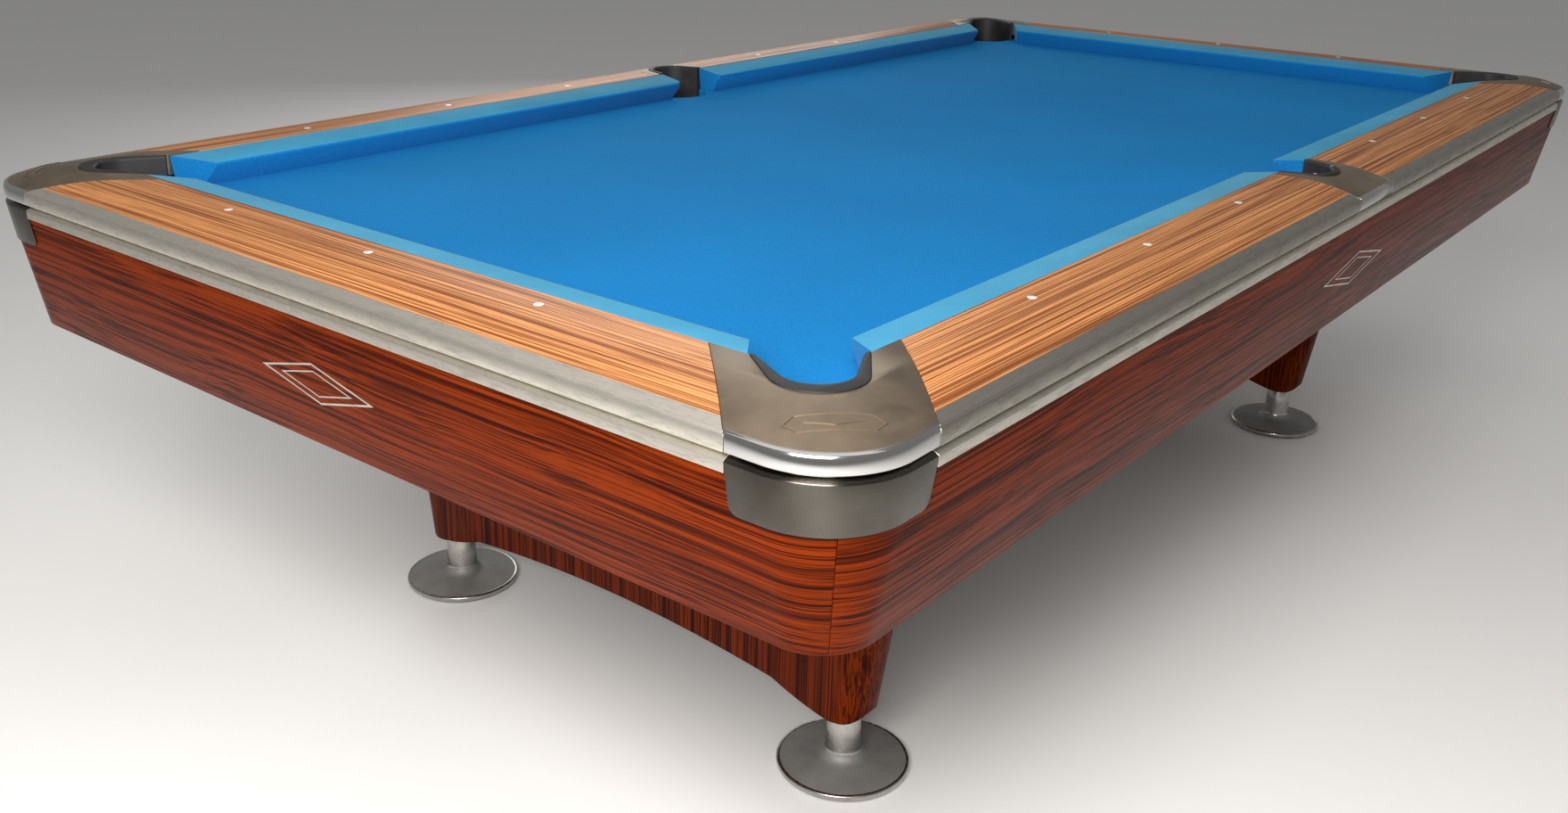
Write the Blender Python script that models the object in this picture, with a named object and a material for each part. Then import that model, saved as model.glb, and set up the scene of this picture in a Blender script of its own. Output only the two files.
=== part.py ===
"""Nine-foot, six-pocket pool table: crowned rails, corner castings, tapered cabinet, two arched pedestals.

Run it with: blender --background --python part.py. Units are metres, +Z is up, X runs along the table.
The origin is on the floor under the middle of the table. "Set-back" is the distance behind a cushion nose.
"""

import math

import bmesh
import bpy

# Playing field and heights
NOSE_X = 1.270  # half the length between the cushion noses
NOSE_Y = 0.635  # half the width between the cushion noses
RAIL_TOP = 0.822
BED_TOP = 0.772
NOSE_DROP = 0.0140  # nose under the rail top
GAP = 0.0003  # clearance between touching pieces

# Rail cross-section, as set-backs
CUSHION_BACK = 0.0595
WOOD_INNER = 0.0600
WOOD_OUTER = 0.1850
FLAT_EDGE = 0.2020
BULLNOSE_OUT = 0.2060
CROWN_START = 0.100
CROWN_RADIUS = 0.290
BULLNOSE_BOTTOM = 0.0400  # under the rail top
CASTING_DEPTH = 0.0320
RAIL_BOTTOM = BED_TOP + GAP

# Corners and side pockets
MITRE = 0.1485  # from the field's corner back along each nose line to the casting's 45 degree seam
SIDE_HALF = 0.0820  # half the width of a side casting
ARC_CENTRE = 0.100  # set-back of the centre that the outer corner turns about
ARC_STEPS = 10
SKIRT_END = 0.0575  # how far past the field's corner the skirt starts

# Lower trim, skirt and cabinet, under the rail top
STRIP_TOP = 0.0425
STRIP_ARRIS = 0.0470
STRIP_BOTTOM = 0.0600
SKIRT_BOTTOM = 0.1060
SKIRT_THICK = 0.0026
CABINET_TOP_OUT = 0.2020
CABINET_BOTTOM_OUT = 0.1675
CABINET_BOTTOM = 0.572  # above the floor
APRON_THICK = 0.0220
MITRE_HALF_GAP = 0.12  # degrees

# Slates and cloth
SLATE_EDGE = 0.115  # set-back of the slate's outer edge
SLATE_THICK = 0.0254
CLOTH_THICK = 0.0007
CLOTH_EDGE = 0.100
SLATE_TOP = BED_TOP - CLOTH_THICK - GAP

# Pockets: distances along the pocket's axis from the field's corner, or from the middle of the long nose
CORNER_POCKET = {
    "outer": {"centre": 0.0820, "radius": 0.0540, "mouth": (0.0226, 0.0651)},
    "inner": {"centre": 0.0700, "radius": 0.0410, "mouth": (0.0223, 0.0576)},
    "well": 0.0707,
}
SIDE_POCKET = {
    "outer": {"centre": 0.0810, "radius": 0.0570, "mouth": (0.0605, 0.0660)},
    "inner": {"centre": 0.0790, "radius": 0.0460, "mouth": (0.0550, 0.0570)},
    "well": 0.0710,
}
WELL_RADIUS = 0.0660
CUP_WALL = 0.0080
CUP_FLOOR = 0.620
CUP_FLOOR_THICK = 0.0080
LINER_PROUD = 0.0015
POCKET_STEPS = 14
CORNER_MOUTH_NOSE = 0.0785  # cushion nose stops this far before the field's corner
CORNER_MOUTH_BACK = 0.0340
SIDE_MOUTH_NOSE = 0.0640
SIDE_MOUTH_BACK = 0.0615

# Frame, pedestals and feet
BEAM_Y = 0.560
BEAM_WIDTH = 0.050
BEAM_HALF_LENGTH = 1.200
PEDESTAL_X = 0.889
FOOT_Y = 0.440
CROSS_WIDTH = 0.140
CROSS_HALF_LENGTH = 0.760
CROSS_BOTTOM = 0.590
CROSS_TOP = 0.665
PEDESTAL_HALF_THICK = 0.045
PEDESTAL_BOTTOM = 0.098
PEDESTAL_CORNER = 0.030
PEDESTAL_TIP = 0.462  # where the flat underside turns up
PEDESTAL_LEAN = 0.155
ARCH_TOP = 0.148
ARCH_FALL = 0.183  # height lost per square metre of distance from the middle
ARCH_EDGE = 0.335
ARCH_FOOT = 0.440
STUD_RADIUS = 0.012
STUD_HOLE_RADIUS = 0.014
STUD_TOP = 0.165
STUD_HOLE_TOP = 0.190
PAD_RADIUS = 0.094
PAD_THICK = 0.004
TURN_STEPS = 28
FOOT_PROFILE = (  # radius and height, from the underside to the stem's top
    (0.0990, PAD_THICK + GAP),
    (0.1010, 0.0065),
    (0.1010, 0.0110),
    (0.0985, 0.0133),
    (0.0955, 0.0135),
    (0.0350, 0.0215),
    (0.0300, 0.0245),
    (0.0270, 0.0310),
    (0.0245, PEDESTAL_BOTTOM - 0.0006),
    (STUD_RADIUS, PEDESTAL_BOTTOM - 0.0006),
    (STUD_RADIUS, STUD_TOP),
)

FINISHES = {  # colour, roughness, metallic
    "slate": ((0.10, 0.11, 0.12), 0.80, 0.0),
    "cloth": ((0.02, 0.19, 0.50), 0.95, 0.0),
    "rail_wood": ((0.50, 0.24, 0.10), 0.35, 0.0),
    "cabinet_wood": ((0.22, 0.06, 0.02), 0.30, 0.0),
    "frame_wood": ((0.45, 0.32, 0.18), 0.70, 0.0),
    "trim": ((0.70, 0.68, 0.64), 0.30, 1.0),
    "casting": ((0.36, 0.33, 0.29), 0.35, 1.0),
    "liner": ((0.012, 0.012, 0.013), 0.60, 0.0),
    "foot": ((0.50, 0.50, 0.50), 0.45, 1.0),
    "pad": ((0.03, 0.03, 0.03), 0.80, 0.0),
}
SIDES_X = {"left": -1, "right": 1}
SIDES_Y = {"front": -1, "back": 1}


def clear_scene():
    for obj in list(bpy.data.objects):
        bpy.data.objects.remove(obj, do_unlink=True)


def material_for(name, finish):
    colour, roughness, metallic = FINISHES[finish]
    material = bpy.data.materials.new(name)
    material.use_nodes = True
    shader = material.node_tree.nodes["Principled BSDF"]
    shader.inputs["Base Color"].default_value = (*colour, 1.0)
    shader.inputs["Roughness"].default_value = roughness
    shader.inputs["Metallic"].default_value = metallic
    return material


def add_object(name, bm, finish, smooth=False):
    bmesh.ops.remove_doubles(bm, verts=bm.verts, dist=1e-6)
    bmesh.ops.recalc_face_normals(bm, faces=bm.faces)
    mesh = bpy.data.meshes.new(name)
    bm.to_mesh(mesh)
    bm.free()
    if smooth:
        mesh.shade_smooth()
        mesh.set_sharp_from_angle(angle=math.radians(30))
    obj = bpy.data.objects.new(name, mesh)
    bpy.context.scene.collection.objects.link(obj)
    if finish:
        obj.data.materials.append(material_for(name, finish))
    return obj


def as_cutter(obj):
    obj.hide_render = True
    obj.display_type = "WIRE"
    return obj


def boolean(obj, other, operation="DIFFERENCE"):
    modifier = obj.modifiers.new(operation.lower(), "BOOLEAN")
    modifier.operation = operation
    modifier.object = as_cutter(other)


def prism(name, outline, bottom, top, finish=None):
    """A closed solid with this outline in XY."""
    bm = bmesh.new()
    face = bm.faces.new([bm.verts.new((x, y, bottom)) for x, y in outline])
    raised = bmesh.ops.extrude_face_region(bm, geom=[face])["geom"]
    verts = [item for item in raised if isinstance(item, bmesh.types.BMVert)]
    bmesh.ops.translate(bm, verts=verts, vec=(0, 0, top - bottom))
    return add_object(name, bm, finish)


def box(name, low, high, finish=None):
    outline = [(low[0], low[1]), (high[0], low[1]), (high[0], high[1]), (low[0], high[1])]
    return prism(name, outline, low[2], high[2], finish)


def circle(centre, radius, steps=2 * POCKET_STEPS):
    turns = [math.tau * i / steps for i in range(steps)]
    return [(centre[0] + radius * math.cos(t), centre[1] + radius * math.sin(t)) for t in turns]


def sweep(name, sections, stations, finish, smooth=False):
    """A closed solid through one cross-section per station; a station turns a set-back into a point."""
    bm = bmesh.new()
    rings = []
    for section, station in zip(sections, stations):
        rings.append([bm.verts.new((*station(setback), height)) for setback, height in section])
    count = len(rings[0])
    for ring, after in zip(rings, rings[1:]):
        for i in range(count):
            j = (i + 1) % count
            bm.faces.new((ring[i], ring[j], after[j], after[i]))
    bm.faces.new(rings[0])
    bm.faces.new(rings[-1])
    return add_object(name, bm, finish, smooth)


# Stations. Each returns a function from set-back to (x, y).


def corner_arc(sx, sy, degrees):
    """A ray of the outer corner; 0 faces along X and 90 along Y."""
    angle = math.radians(degrees)

    def place(setback):
        reach = max(setback - ARC_CENTRE, 0.0)
        start = min(setback, ARC_CENTRE)
        return (
            sx * (NOSE_X + start + reach * math.cos(angle)),
            sy * (NOSE_Y + start + reach * math.sin(angle)),
        )

    return place


def short_mitre(sx, sy, extra=0.0):
    return lambda setback: (sx * (NOSE_X + setback), sy * (NOSE_Y - MITRE + extra + setback))


def long_mitre(sx, sy, extra=0.0):
    return lambda setback: (sx * (NOSE_X - MITRE + extra + setback), sy * (NOSE_Y + setback))


def short_cut(sx, sy, along):
    return lambda setback: (sx * (NOSE_X + setback), sy * along)


def long_cut(sy, along):
    return lambda setback: (along, sy * (NOSE_Y + setback))


# Cross-sections, as (set-back, height) pairs.


def crown(setback):
    """Height of the rail's top, which falls away in an arc towards its outer edge."""
    return RAIL_TOP - max(setback - CROWN_START, 0.0) ** 2 / (2 * CROWN_RADIUS)


def crown_line(start, end, steps):
    setbacks = [start + (end - start) * i / steps for i in range(steps + 1)]
    return [(s, crown(s)) for s in setbacks]


def bullnose():
    """From under the flat's outer edge, round the nose and down to its underside."""
    top = crown(FLAT_EDGE)
    bottom = RAIL_TOP - BULLNOSE_BOTTOM
    middle, half = (top + bottom) / 2, (top - bottom) / 2
    angles = [math.radians(a) for a in (60, 30, 0, -30, -60, -90)]
    bulge = BULLNOSE_OUT - FLAT_EDGE
    return [(FLAT_EDGE + bulge * math.cos(a), middle + half * math.sin(a)) for a in angles]


def rail_section():
    top = [(WOOD_INNER, RAIL_TOP)] + crown_line(CROWN_START, WOOD_OUTER, 4)
    return top + [(WOOD_OUTER, RAIL_BOTTOM), (WOOD_INNER, RAIL_BOTTOM)]


def trim_section():
    inner = WOOD_OUTER + GAP
    bottom = RAIL_TOP - BULLNOSE_BOTTOM
    return [(inner, crown(inner)), (FLAT_EDGE, crown(FLAT_EDGE))] + bullnose() + [(inner, bottom)]


def casting_section():
    top = [(WOOD_INNER, RAIL_TOP)] + crown_line(CROWN_START, FLAT_EDGE, 5)
    under = RAIL_TOP - CASTING_DEPTH
    lip = RAIL_TOP - BULLNOSE_BOTTOM
    inside = WOOD_OUTER + GAP
    return top + bullnose() + [(inside, lip), (inside, under), (ARC_CENTRE, under), (WOOD_INNER, under)]


def cushion_section():
    nose = RAIL_TOP - NOSE_DROP
    back = RAIL_TOP - 0.0006
    return [
        (0.0000, nose + 0.0006),
        (0.0015, nose + 0.0026),
        (0.0060, nose + 0.0040),
        (CUSHION_BACK, back),
        (CUSHION_BACK, RAIL_BOTTOM),
        (0.0230, RAIL_BOTTOM),
        (0.0030, nose - 0.0045),
        (0.0005, nose - 0.0015),
    ]


def strip_section():
    back = 0.1860
    return [
        (0.1960, RAIL_TOP - STRIP_TOP),
        (0.2055, RAIL_TOP - STRIP_ARRIS),
        (0.2050, RAIL_TOP - STRIP_BOTTOM + GAP),
        (back, RAIL_TOP - STRIP_BOTTOM + GAP),
        (back, RAIL_TOP - STRIP_TOP),
    ]


def cabinet_face(height):
    """Set-back of the cabinet's outer face, which leans in towards the floor."""
    top = RAIL_TOP - STRIP_BOTTOM
    part = (height - CABINET_BOTTOM) / (top - CABINET_BOTTOM)
    return CABINET_BOTTOM_OUT + part * (CABINET_TOP_OUT - CABINET_BOTTOM_OUT)


def skirt_section(bottom):
    """The corner skirt: the lower trim's own top, then a plate that follows the cabinet down."""
    step = RAIL_TOP - STRIP_BOTTOM + GAP
    inner_bottom = cabinet_face(bottom) + 0.0005
    return [
        (0.1960, RAIL_TOP - STRIP_TOP),
        (0.2055, RAIL_TOP - STRIP_ARRIS),
        (inner_bottom + SKIRT_THICK, bottom),
        (inner_bottom, bottom),
        (cabinet_face(step) + 0.0005, step),
        (0.1860, step),
        (0.1860, RAIL_TOP - STRIP_TOP),
    ]


def apron_section():
    top = RAIL_TOP - STRIP_BOTTOM
    low = CABINET_BOTTOM
    out_low, out_top = cabinet_face(low), cabinet_face(top)
    return [(out_top, top), (out_low, low), (out_low - APRON_THICK, low), (out_top - APRON_THICK, top)]


# Pocket outlines


def pocket_frame(sx, sy):
    """Origin, outward axis and sideways axis of a pocket; sx is 0 at a side pocket."""
    origin = (sx * NOSE_X, sy * NOSE_Y)
    if sx == 0:
        return origin, (0.0, float(sy)), (1.0, 0.0)
    half = math.sqrt(0.5)
    return origin, (sx * half, sy * half), (sy * half, -sx * half)


def placed(frame, points):
    origin, axis, across = frame
    return [
        (origin[0] + a * axis[0] + b * across[0], origin[1] + a * axis[1] + b * across[1])
        for a, b in points
    ]


def throat(shape, grow=0.0, reach=None):
    """A pocket's U: two jaws that run from the mouth, tangent to a round back."""
    radius = shape["radius"] + grow
    mouth_a, mouth_b = shape["mouth"][0], shape["mouth"][1] + grow
    offset = mouth_a - shape["centre"]
    turn = math.atan2(mouth_b, offset) - math.acos(radius / math.hypot(offset, mouth_b))
    angles = [turn - 2 * turn * i / POCKET_STEPS for i in range(POCKET_STEPS + 1)]
    back = [(shape["centre"] + radius * math.cos(t), radius * math.sin(t)) for t in angles]
    points = [(mouth_a, mouth_b)] + back + [(mouth_a, -mouth_b)]
    if reach is not None:
        points = [(reach, mouth_b)] + points + [(reach, -mouth_b)]
    return points


POCKETS = {
    f"{end}_{side}": (sx, sy)
    for end, sx in (("left", -1), ("centre", 0), ("right", 1))
    for side, sy in SIDES_Y.items()
}


def pocket_shape(sx):
    return SIDE_POCKET if sx == 0 else CORNER_POCKET


def well_cutter(name, sx, sy, bottom, top):
    """The round hole at a pocket, open to the outside of the slate."""
    frame = pocket_frame(sx, sy)
    centre = pocket_shape(sx)["well"]
    angles = [math.pi / 2 + math.pi * i / POCKET_STEPS for i in range(POCKET_STEPS + 1)]
    edge = [(centre + WELL_RADIUS * math.cos(t), WELL_RADIUS * math.sin(t)) for t in angles]
    outline = edge + [(0.30, -WELL_RADIUS), (0.30, WELL_RADIUS)]
    return prism(name, placed(frame, outline), bottom, top)


# Pieces


def make_slates():
    edges = (-NOSE_X - SLATE_EDGE, -(NOSE_X + SLATE_EDGE) / 3, (NOSE_X + SLATE_EDGE) / 3, NOSE_X + SLATE_EDGE)
    half = NOSE_Y + SLATE_EDGE
    names = ("left", "centre", "right")
    for name, low, high in zip(names, edges, edges[1:]):
        slate = box(
            f"slate_{name}",
            (low + GAP / 2, -half, SLATE_TOP - SLATE_THICK),
            (high - GAP / 2, half, SLATE_TOP),
            "slate",
        )
        for label, (sx, sy) in POCKETS.items():
            if label.startswith(name):
                cutter = well_cutter(f"cut_slate_{label}", sx, sy, SLATE_TOP - 0.05, SLATE_TOP + 0.05)
                boolean(slate, cutter)


def make_bed_cloth():
    x, y = NOSE_X + CLOTH_EDGE, NOSE_Y + CLOTH_EDGE
    cloth = box("bed_cloth", (-x, -y, BED_TOP - CLOTH_THICK), (x, y, BED_TOP), "cloth")
    for label, (sx, sy) in POCKETS.items():
        boolean(cloth, well_cutter(f"cut_cloth_{label}", sx, sy, BED_TOP - 0.02, BED_TOP + 0.02))


def long_stretches():
    """Name, side and the two ends of each long rail, from the side casting to the corner."""
    for end, sx in SIDES_X.items():
        for side, sy in SIDES_Y.items():
            yield f"{side}_{end}", sx, sy


def make_rails():
    """Wooden rails and their metal edges, mitred to the corner castings."""
    for kind, section, finish in (
        ("rail", rail_section(), "rail_wood"),
        ("rail_trim", trim_section(), "trim"),
    ):
        for name, sx, sy in long_stretches():
            ends = (long_cut(sy, sx * (SIDE_HALF + GAP)), long_mitre(sx, sy))
            sweep(f"{kind}_{name}", (section, section), ends, finish, smooth=True)
        for end, sx in SIDES_X.items():
            ends = (short_mitre(sx, -1), short_mitre(sx, 1))
            sweep(f"{kind}_{end}", (section, section), ends, finish, smooth=True)


def cushion_end(setback):
    """Where a cushion's end lies along its rail, before the field's corner."""
    part = setback / CUSHION_BACK
    return CORNER_MOUTH_NOSE + part * (CORNER_MOUTH_BACK - CORNER_MOUTH_NOSE)


def side_end(setback):
    return SIDE_MOUTH_NOSE + setback / CUSHION_BACK * (SIDE_MOUTH_BACK - SIDE_MOUTH_NOSE)


def make_cushions():
    section = cushion_section()
    for name, sx, sy in long_stretches():
        ends = (
            lambda s, sx=sx, sy=sy: (sx * side_end(s), sy * (NOSE_Y + s)),
            lambda s, sx=sx, sy=sy: (sx * (NOSE_X - cushion_end(s)), sy * (NOSE_Y + s)),
        )
        sweep(f"cushion_{name}", (section, section), ends, "cloth")
    for end, sx in SIDES_X.items():
        ends = [
            lambda s, sx=sx, sy=sy: (sx * (NOSE_X + s), sy * (NOSE_Y - cushion_end(s)))
            for sy in (-1, 1)
        ]
        sweep(f"cushion_{end}", (section, section), ends, "cloth")


def make_castings():
    """Corner and side castings, each open where its pocket is."""
    section = casting_section()
    for label, (sx, sy) in POCKETS.items():
        if sx == 0:
            stations = [long_cut(sy, -SIDE_HALF), long_cut(sy, SIDE_HALF)]
        else:
            rays = [corner_arc(sx, sy, 90 * i / ARC_STEPS) for i in range(ARC_STEPS + 1)]
            stations = [short_mitre(sx, sy, 2 * GAP), *rays, long_mitre(sx, sy, 2 * GAP)]
        casting = sweep(f"casting_{label}", [section] * len(stations), stations, "casting", smooth=True)
        outline = placed(pocket_frame(sx, sy), throat(pocket_shape(sx)["outer"], reach=-0.10))
        boolean(casting, prism(f"cut_casting_{label}", outline, RAIL_TOP - 0.10, RAIL_TOP + 0.05))


def make_skirts():
    bottom = RAIL_TOP - SKIRT_BOTTOM
    full, clipped = skirt_section(bottom), skirt_section(bottom + 0.012)
    for label, (sx, sy) in POCKETS.items():
        if sx == 0:
            continue
        rays = [corner_arc(sx, sy, 90 * i / ARC_STEPS) for i in range(ARC_STEPS + 1)]
        y, x = NOSE_Y + SKIRT_END, NOSE_X + SKIRT_END
        stations = [
            short_cut(sx, sy, y),
            short_cut(sx, sy, y + 0.012),
            *rays,
            long_cut(sy, sx * (x + 0.012)),
            long_cut(sy, sx * x),
        ]
        sections = [clipped] + [full] * (len(stations) - 2) + [clipped]
        sweep(f"skirt_{label}", sections, stations, "casting", smooth=True)


def make_lower_trims():
    section = strip_section()
    x, y = NOSE_X + SKIRT_END - GAP, NOSE_Y + SKIRT_END - GAP
    for side, sy in SIDES_Y.items():
        sweep(f"lower_trim_{side}", (section,) * 2, (long_cut(sy, -x), long_cut(sy, x)), "trim")
    for end, sx in SIDES_X.items():
        sweep(f"lower_trim_{end}", (section,) * 2, (short_cut(sx, -1, y), short_cut(sx, 1, y)), "trim")


def make_aprons():
    """The cabinet's four panels, each bent round half of two corners."""
    section = apron_section()
    steps = ARC_STEPS // 2
    flat_to_seam = [(45 - MITRE_HALF_GAP) * i / steps for i in range(steps + 1)]
    for end, sx in SIDES_X.items():
        stations = [corner_arc(sx, -1, a) for a in reversed(flat_to_seam)]
        stations += [corner_arc(sx, 1, a) for a in flat_to_seam]
        sweep(f"apron_{end}", [section] * len(stations), stations, "cabinet_wood", smooth=True)
    for side, sy in SIDES_Y.items():
        stations = [corner_arc(-1, sy, 90 - a) for a in reversed(flat_to_seam)]
        stations += [corner_arc(1, sy, 90 - a) for a in flat_to_seam]
        sweep(f"apron_{side}", [section] * len(stations), stations, "cabinet_wood", smooth=True)


def make_pockets():
    """A rubber liner in the casting's opening, with the cup that catches the balls under it."""
    for label, (sx, sy) in POCKETS.items():
        shape, frame = pocket_shape(sx), pocket_frame(sx, sy)
        centre = (shape["well"], 0.0)
        seat = SLATE_TOP - 0.012
        rim = RAIL_TOP + LINER_PROUD
        liner = prism(
            f"pocket_{label}", placed(frame, throat(shape["outer"], -GAP)), seat, rim, "liner"
        )
        collar = prism(f"cut_collar_{label}", placed(frame, circle(centre, 0.20)), seat - 0.01, RAIL_BOTTOM)
        core = placed(frame, circle(centre, WELL_RADIUS - 3 * GAP))
        boolean(collar, prism(f"cut_core_{label}", core, 0.5, 0.9))
        boolean(liner, collar)
        outside = placed(frame, circle(centre, WELL_RADIUS - GAP))
        cup = prism(f"cut_cup_{label}", outside, CUP_FLOOR, SLATE_TOP - 0.0005)
        boolean(liner, cup, "UNION")
        open_throat = placed(frame, throat(shape["inner"], reach=-0.12))
        boolean(liner, prism(f"cut_throat_{label}", open_throat, SLATE_TOP - 0.006, rim + 0.01))
        hollow = placed(frame, circle(centre, WELL_RADIUS - GAP - CUP_WALL))
        boolean(
            liner,
            prism(f"cut_hollow_{label}", hollow, CUP_FLOOR + CUP_FLOOR_THICK, SLATE_TOP - 0.005),
        )


def make_frame():
    beam_top = SLATE_TOP - SLATE_THICK - GAP
    for side, sy in SIDES_Y.items():
        inner, outer = sy * (BEAM_Y - BEAM_WIDTH / 2), sy * (BEAM_Y + BEAM_WIDTH / 2)
        box(
            f"frame_beam_{side}",
            (-BEAM_HALF_LENGTH, min(inner, outer), CROSS_TOP + GAP),
            (BEAM_HALF_LENGTH, max(inner, outer), beam_top),
            "frame_wood",
        )
    for end, sx in SIDES_X.items():
        middle = sx * PEDESTAL_X
        box(
            f"cross_member_{end}",
            (middle - CROSS_WIDTH / 2, -CROSS_HALF_LENGTH, CROSS_BOTTOM),
            (middle + CROSS_WIDTH / 2, CROSS_HALF_LENGTH, CROSS_TOP),
            "frame_wood",
        )


def pedestal_edge(height):
    """Half the pedestal's length, which grows with height because its ends lean out."""
    return PEDESTAL_TIP + PEDESTAL_CORNER + PEDESTAL_LEAN * (height - PEDESTAL_BOTTOM - PEDESTAL_CORNER)


def pedestal_outline(top):
    """Side view in (y, z): an arched underside between two rounded tips."""
    half = [(ARCH_EDGE * i / 8, ARCH_TOP - ARCH_FALL * (ARCH_EDGE * i / 8) ** 2) for i in range(9)]
    half += [(ARCH_FOOT - 0.014, PEDESTAL_BOTTOM + 0.0022), (ARCH_FOOT, PEDESTAL_BOTTOM)]
    centre = (PEDESTAL_TIP, PEDESTAL_BOTTOM + PEDESTAL_CORNER)
    for i in range(6):
        angle = math.radians(-90 + 81 * i / 5)
        half.append(
            (centre[0] + PEDESTAL_CORNER * math.cos(angle), centre[1] + PEDESTAL_CORNER * math.sin(angle))
        )
    half.append((pedestal_edge(top) + 0.01, top))
    return half + [(-y, z) for y, z in reversed(half[1:])]


def make_pedestals():
    top = CROSS_BOTTOM - GAP
    steps = 12
    for end, sx in SIDES_X.items():
        middle = sx * PEDESTAL_X
        bm = bmesh.new()
        rings = []
        for height in (PEDESTAL_BOTTOM - 0.01, top):
            reach = pedestal_edge(height) - PEDESTAL_HALF_THICK
            ring = []
            for i in range(2 * (steps + 1)):
                sy = 1 if i <= steps else -1
                turn = math.pi * (i - (i > steps)) / steps
                x = middle + PEDESTAL_HALF_THICK * math.cos(turn)
                y = sy * reach + PEDESTAL_HALF_THICK * math.sin(turn)
                ring.append(bm.verts.new((x, y, height)))
            rings.append(ring)
        count = len(rings[0])
        for i in range(count):
            j = (i + 1) % count
            bm.faces.new((rings[0][i], rings[0][j], rings[1][j], rings[1][i]))
        bm.faces.new(rings[0])
        bm.faces.new(rings[1])
        pedestal = add_object(f"pedestal_{end}", bm, "cabinet_wood", smooth=True)
        boolean(pedestal, side_view_solid(f"cut_outline_{end}", middle, top + 0.01), "INTERSECT")
        for side, sy in SIDES_Y.items():
            hole = circle((middle, sy * FOOT_Y), STUD_HOLE_RADIUS, 16)
            boolean(pedestal, prism(f"cut_stud_{side}_{end}", hole, 0.05, STUD_HOLE_TOP))


def side_view_solid(name, middle, top):
    bm = bmesh.new()
    width = 2 * PEDESTAL_HALF_THICK
    verts = [bm.verts.new((middle - width, y, z)) for y, z in pedestal_outline(top)]
    raised = bmesh.ops.extrude_face_region(bm, geom=[bm.faces.new(verts)])["geom"]
    moved = [item for item in raised if isinstance(item, bmesh.types.BMVert)]
    bmesh.ops.translate(bm, verts=moved, vec=(2 * width, 0, 0))
    return add_object(name, bm, None)


def turned(name, profile, x, y, finish):
    """A solid turned about the vertical through (x, y); the object's origin is on that axis."""
    bm = bmesh.new()
    points = [(0.0, profile[0][1]), *profile, (0.0, profile[-1][1])]
    verts = [bm.verts.new((radius, 0.0, height)) for radius, height in points]
    edges = [bm.edges.new(pair) for pair in zip(verts, verts[1:])]
    bmesh.ops.spin(
        bm, geom=verts + edges, cent=(0, 0, 0), axis=(0, 0, 1), angle=math.tau, steps=TURN_STEPS
    )
    obj = add_object(name, bm, finish, smooth=True)
    obj.location = (x, y, 0.0)
    return obj


def make_feet():
    pad = ((PAD_RADIUS, 0.0), (PAD_RADIUS, PAD_THICK))
    for end, sx in SIDES_X.items():
        for side, sy in SIDES_Y.items():
            x, y = sx * PEDESTAL_X, sy * FOOT_Y
            turned(f"foot_{side}_{end}", FOOT_PROFILE, x, y, "foot")
            turned(f"glide_pad_{side}_{end}", pad, x, y, "pad")


def main():
    clear_scene()
    make_slates()
    make_bed_cloth()
    make_rails()
    make_cushions()
    make_castings()
    make_skirts()
    make_lower_trims()
    make_aprons()
    make_pockets()
    make_frame()
    make_pedestals()
    make_feet()


main()
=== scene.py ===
"""Visual model of a nine-foot pool table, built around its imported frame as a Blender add-on.

Units are metres, +Z is up and X runs along the table. A "set-back" is the distance behind a cushion nose.
Each master piece is modelled in the +X +Y quarter of the table and copied to the others.
"""

import math

import bmesh
import bpy
from bpy.props import FloatProperty, FloatVectorProperty, IntProperty, PointerProperty
from mathutils import Matrix, Vector


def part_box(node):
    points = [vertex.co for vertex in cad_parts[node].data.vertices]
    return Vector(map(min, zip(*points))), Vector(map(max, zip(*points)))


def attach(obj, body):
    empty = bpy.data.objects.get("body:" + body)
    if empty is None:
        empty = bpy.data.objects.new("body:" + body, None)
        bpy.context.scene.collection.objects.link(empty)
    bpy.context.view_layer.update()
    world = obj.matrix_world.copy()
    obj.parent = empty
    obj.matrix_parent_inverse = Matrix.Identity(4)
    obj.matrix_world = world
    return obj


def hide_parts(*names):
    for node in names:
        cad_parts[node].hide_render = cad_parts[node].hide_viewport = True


bl_info = {
    "name": "Pool Table",
    "version": (1, 0, 0),
    "blender": (4, 5, 0),
    "location": "View3D > Sidebar > Pool Table",
    "description": "Builds the detailed pieces of a pool table around its frame",
    "category": "Object",
}

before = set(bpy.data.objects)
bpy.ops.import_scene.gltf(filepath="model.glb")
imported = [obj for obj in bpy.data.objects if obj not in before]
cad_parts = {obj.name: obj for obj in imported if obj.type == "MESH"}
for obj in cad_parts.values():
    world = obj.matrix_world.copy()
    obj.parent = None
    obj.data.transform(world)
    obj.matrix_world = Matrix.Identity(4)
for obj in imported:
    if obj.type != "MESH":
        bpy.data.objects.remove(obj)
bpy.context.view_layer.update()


def low(node):
    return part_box(node)[0]


def high(node):
    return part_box(node)[1]


# Sizes that the frame does not give
NOSE_DROP = 0.0140
GAP = 0.0003
BOLTS_LONG = (0.25, 0.62, 1.05)
BOLTS_SHORT = (-0.42, 0.0, 0.42)

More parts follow.
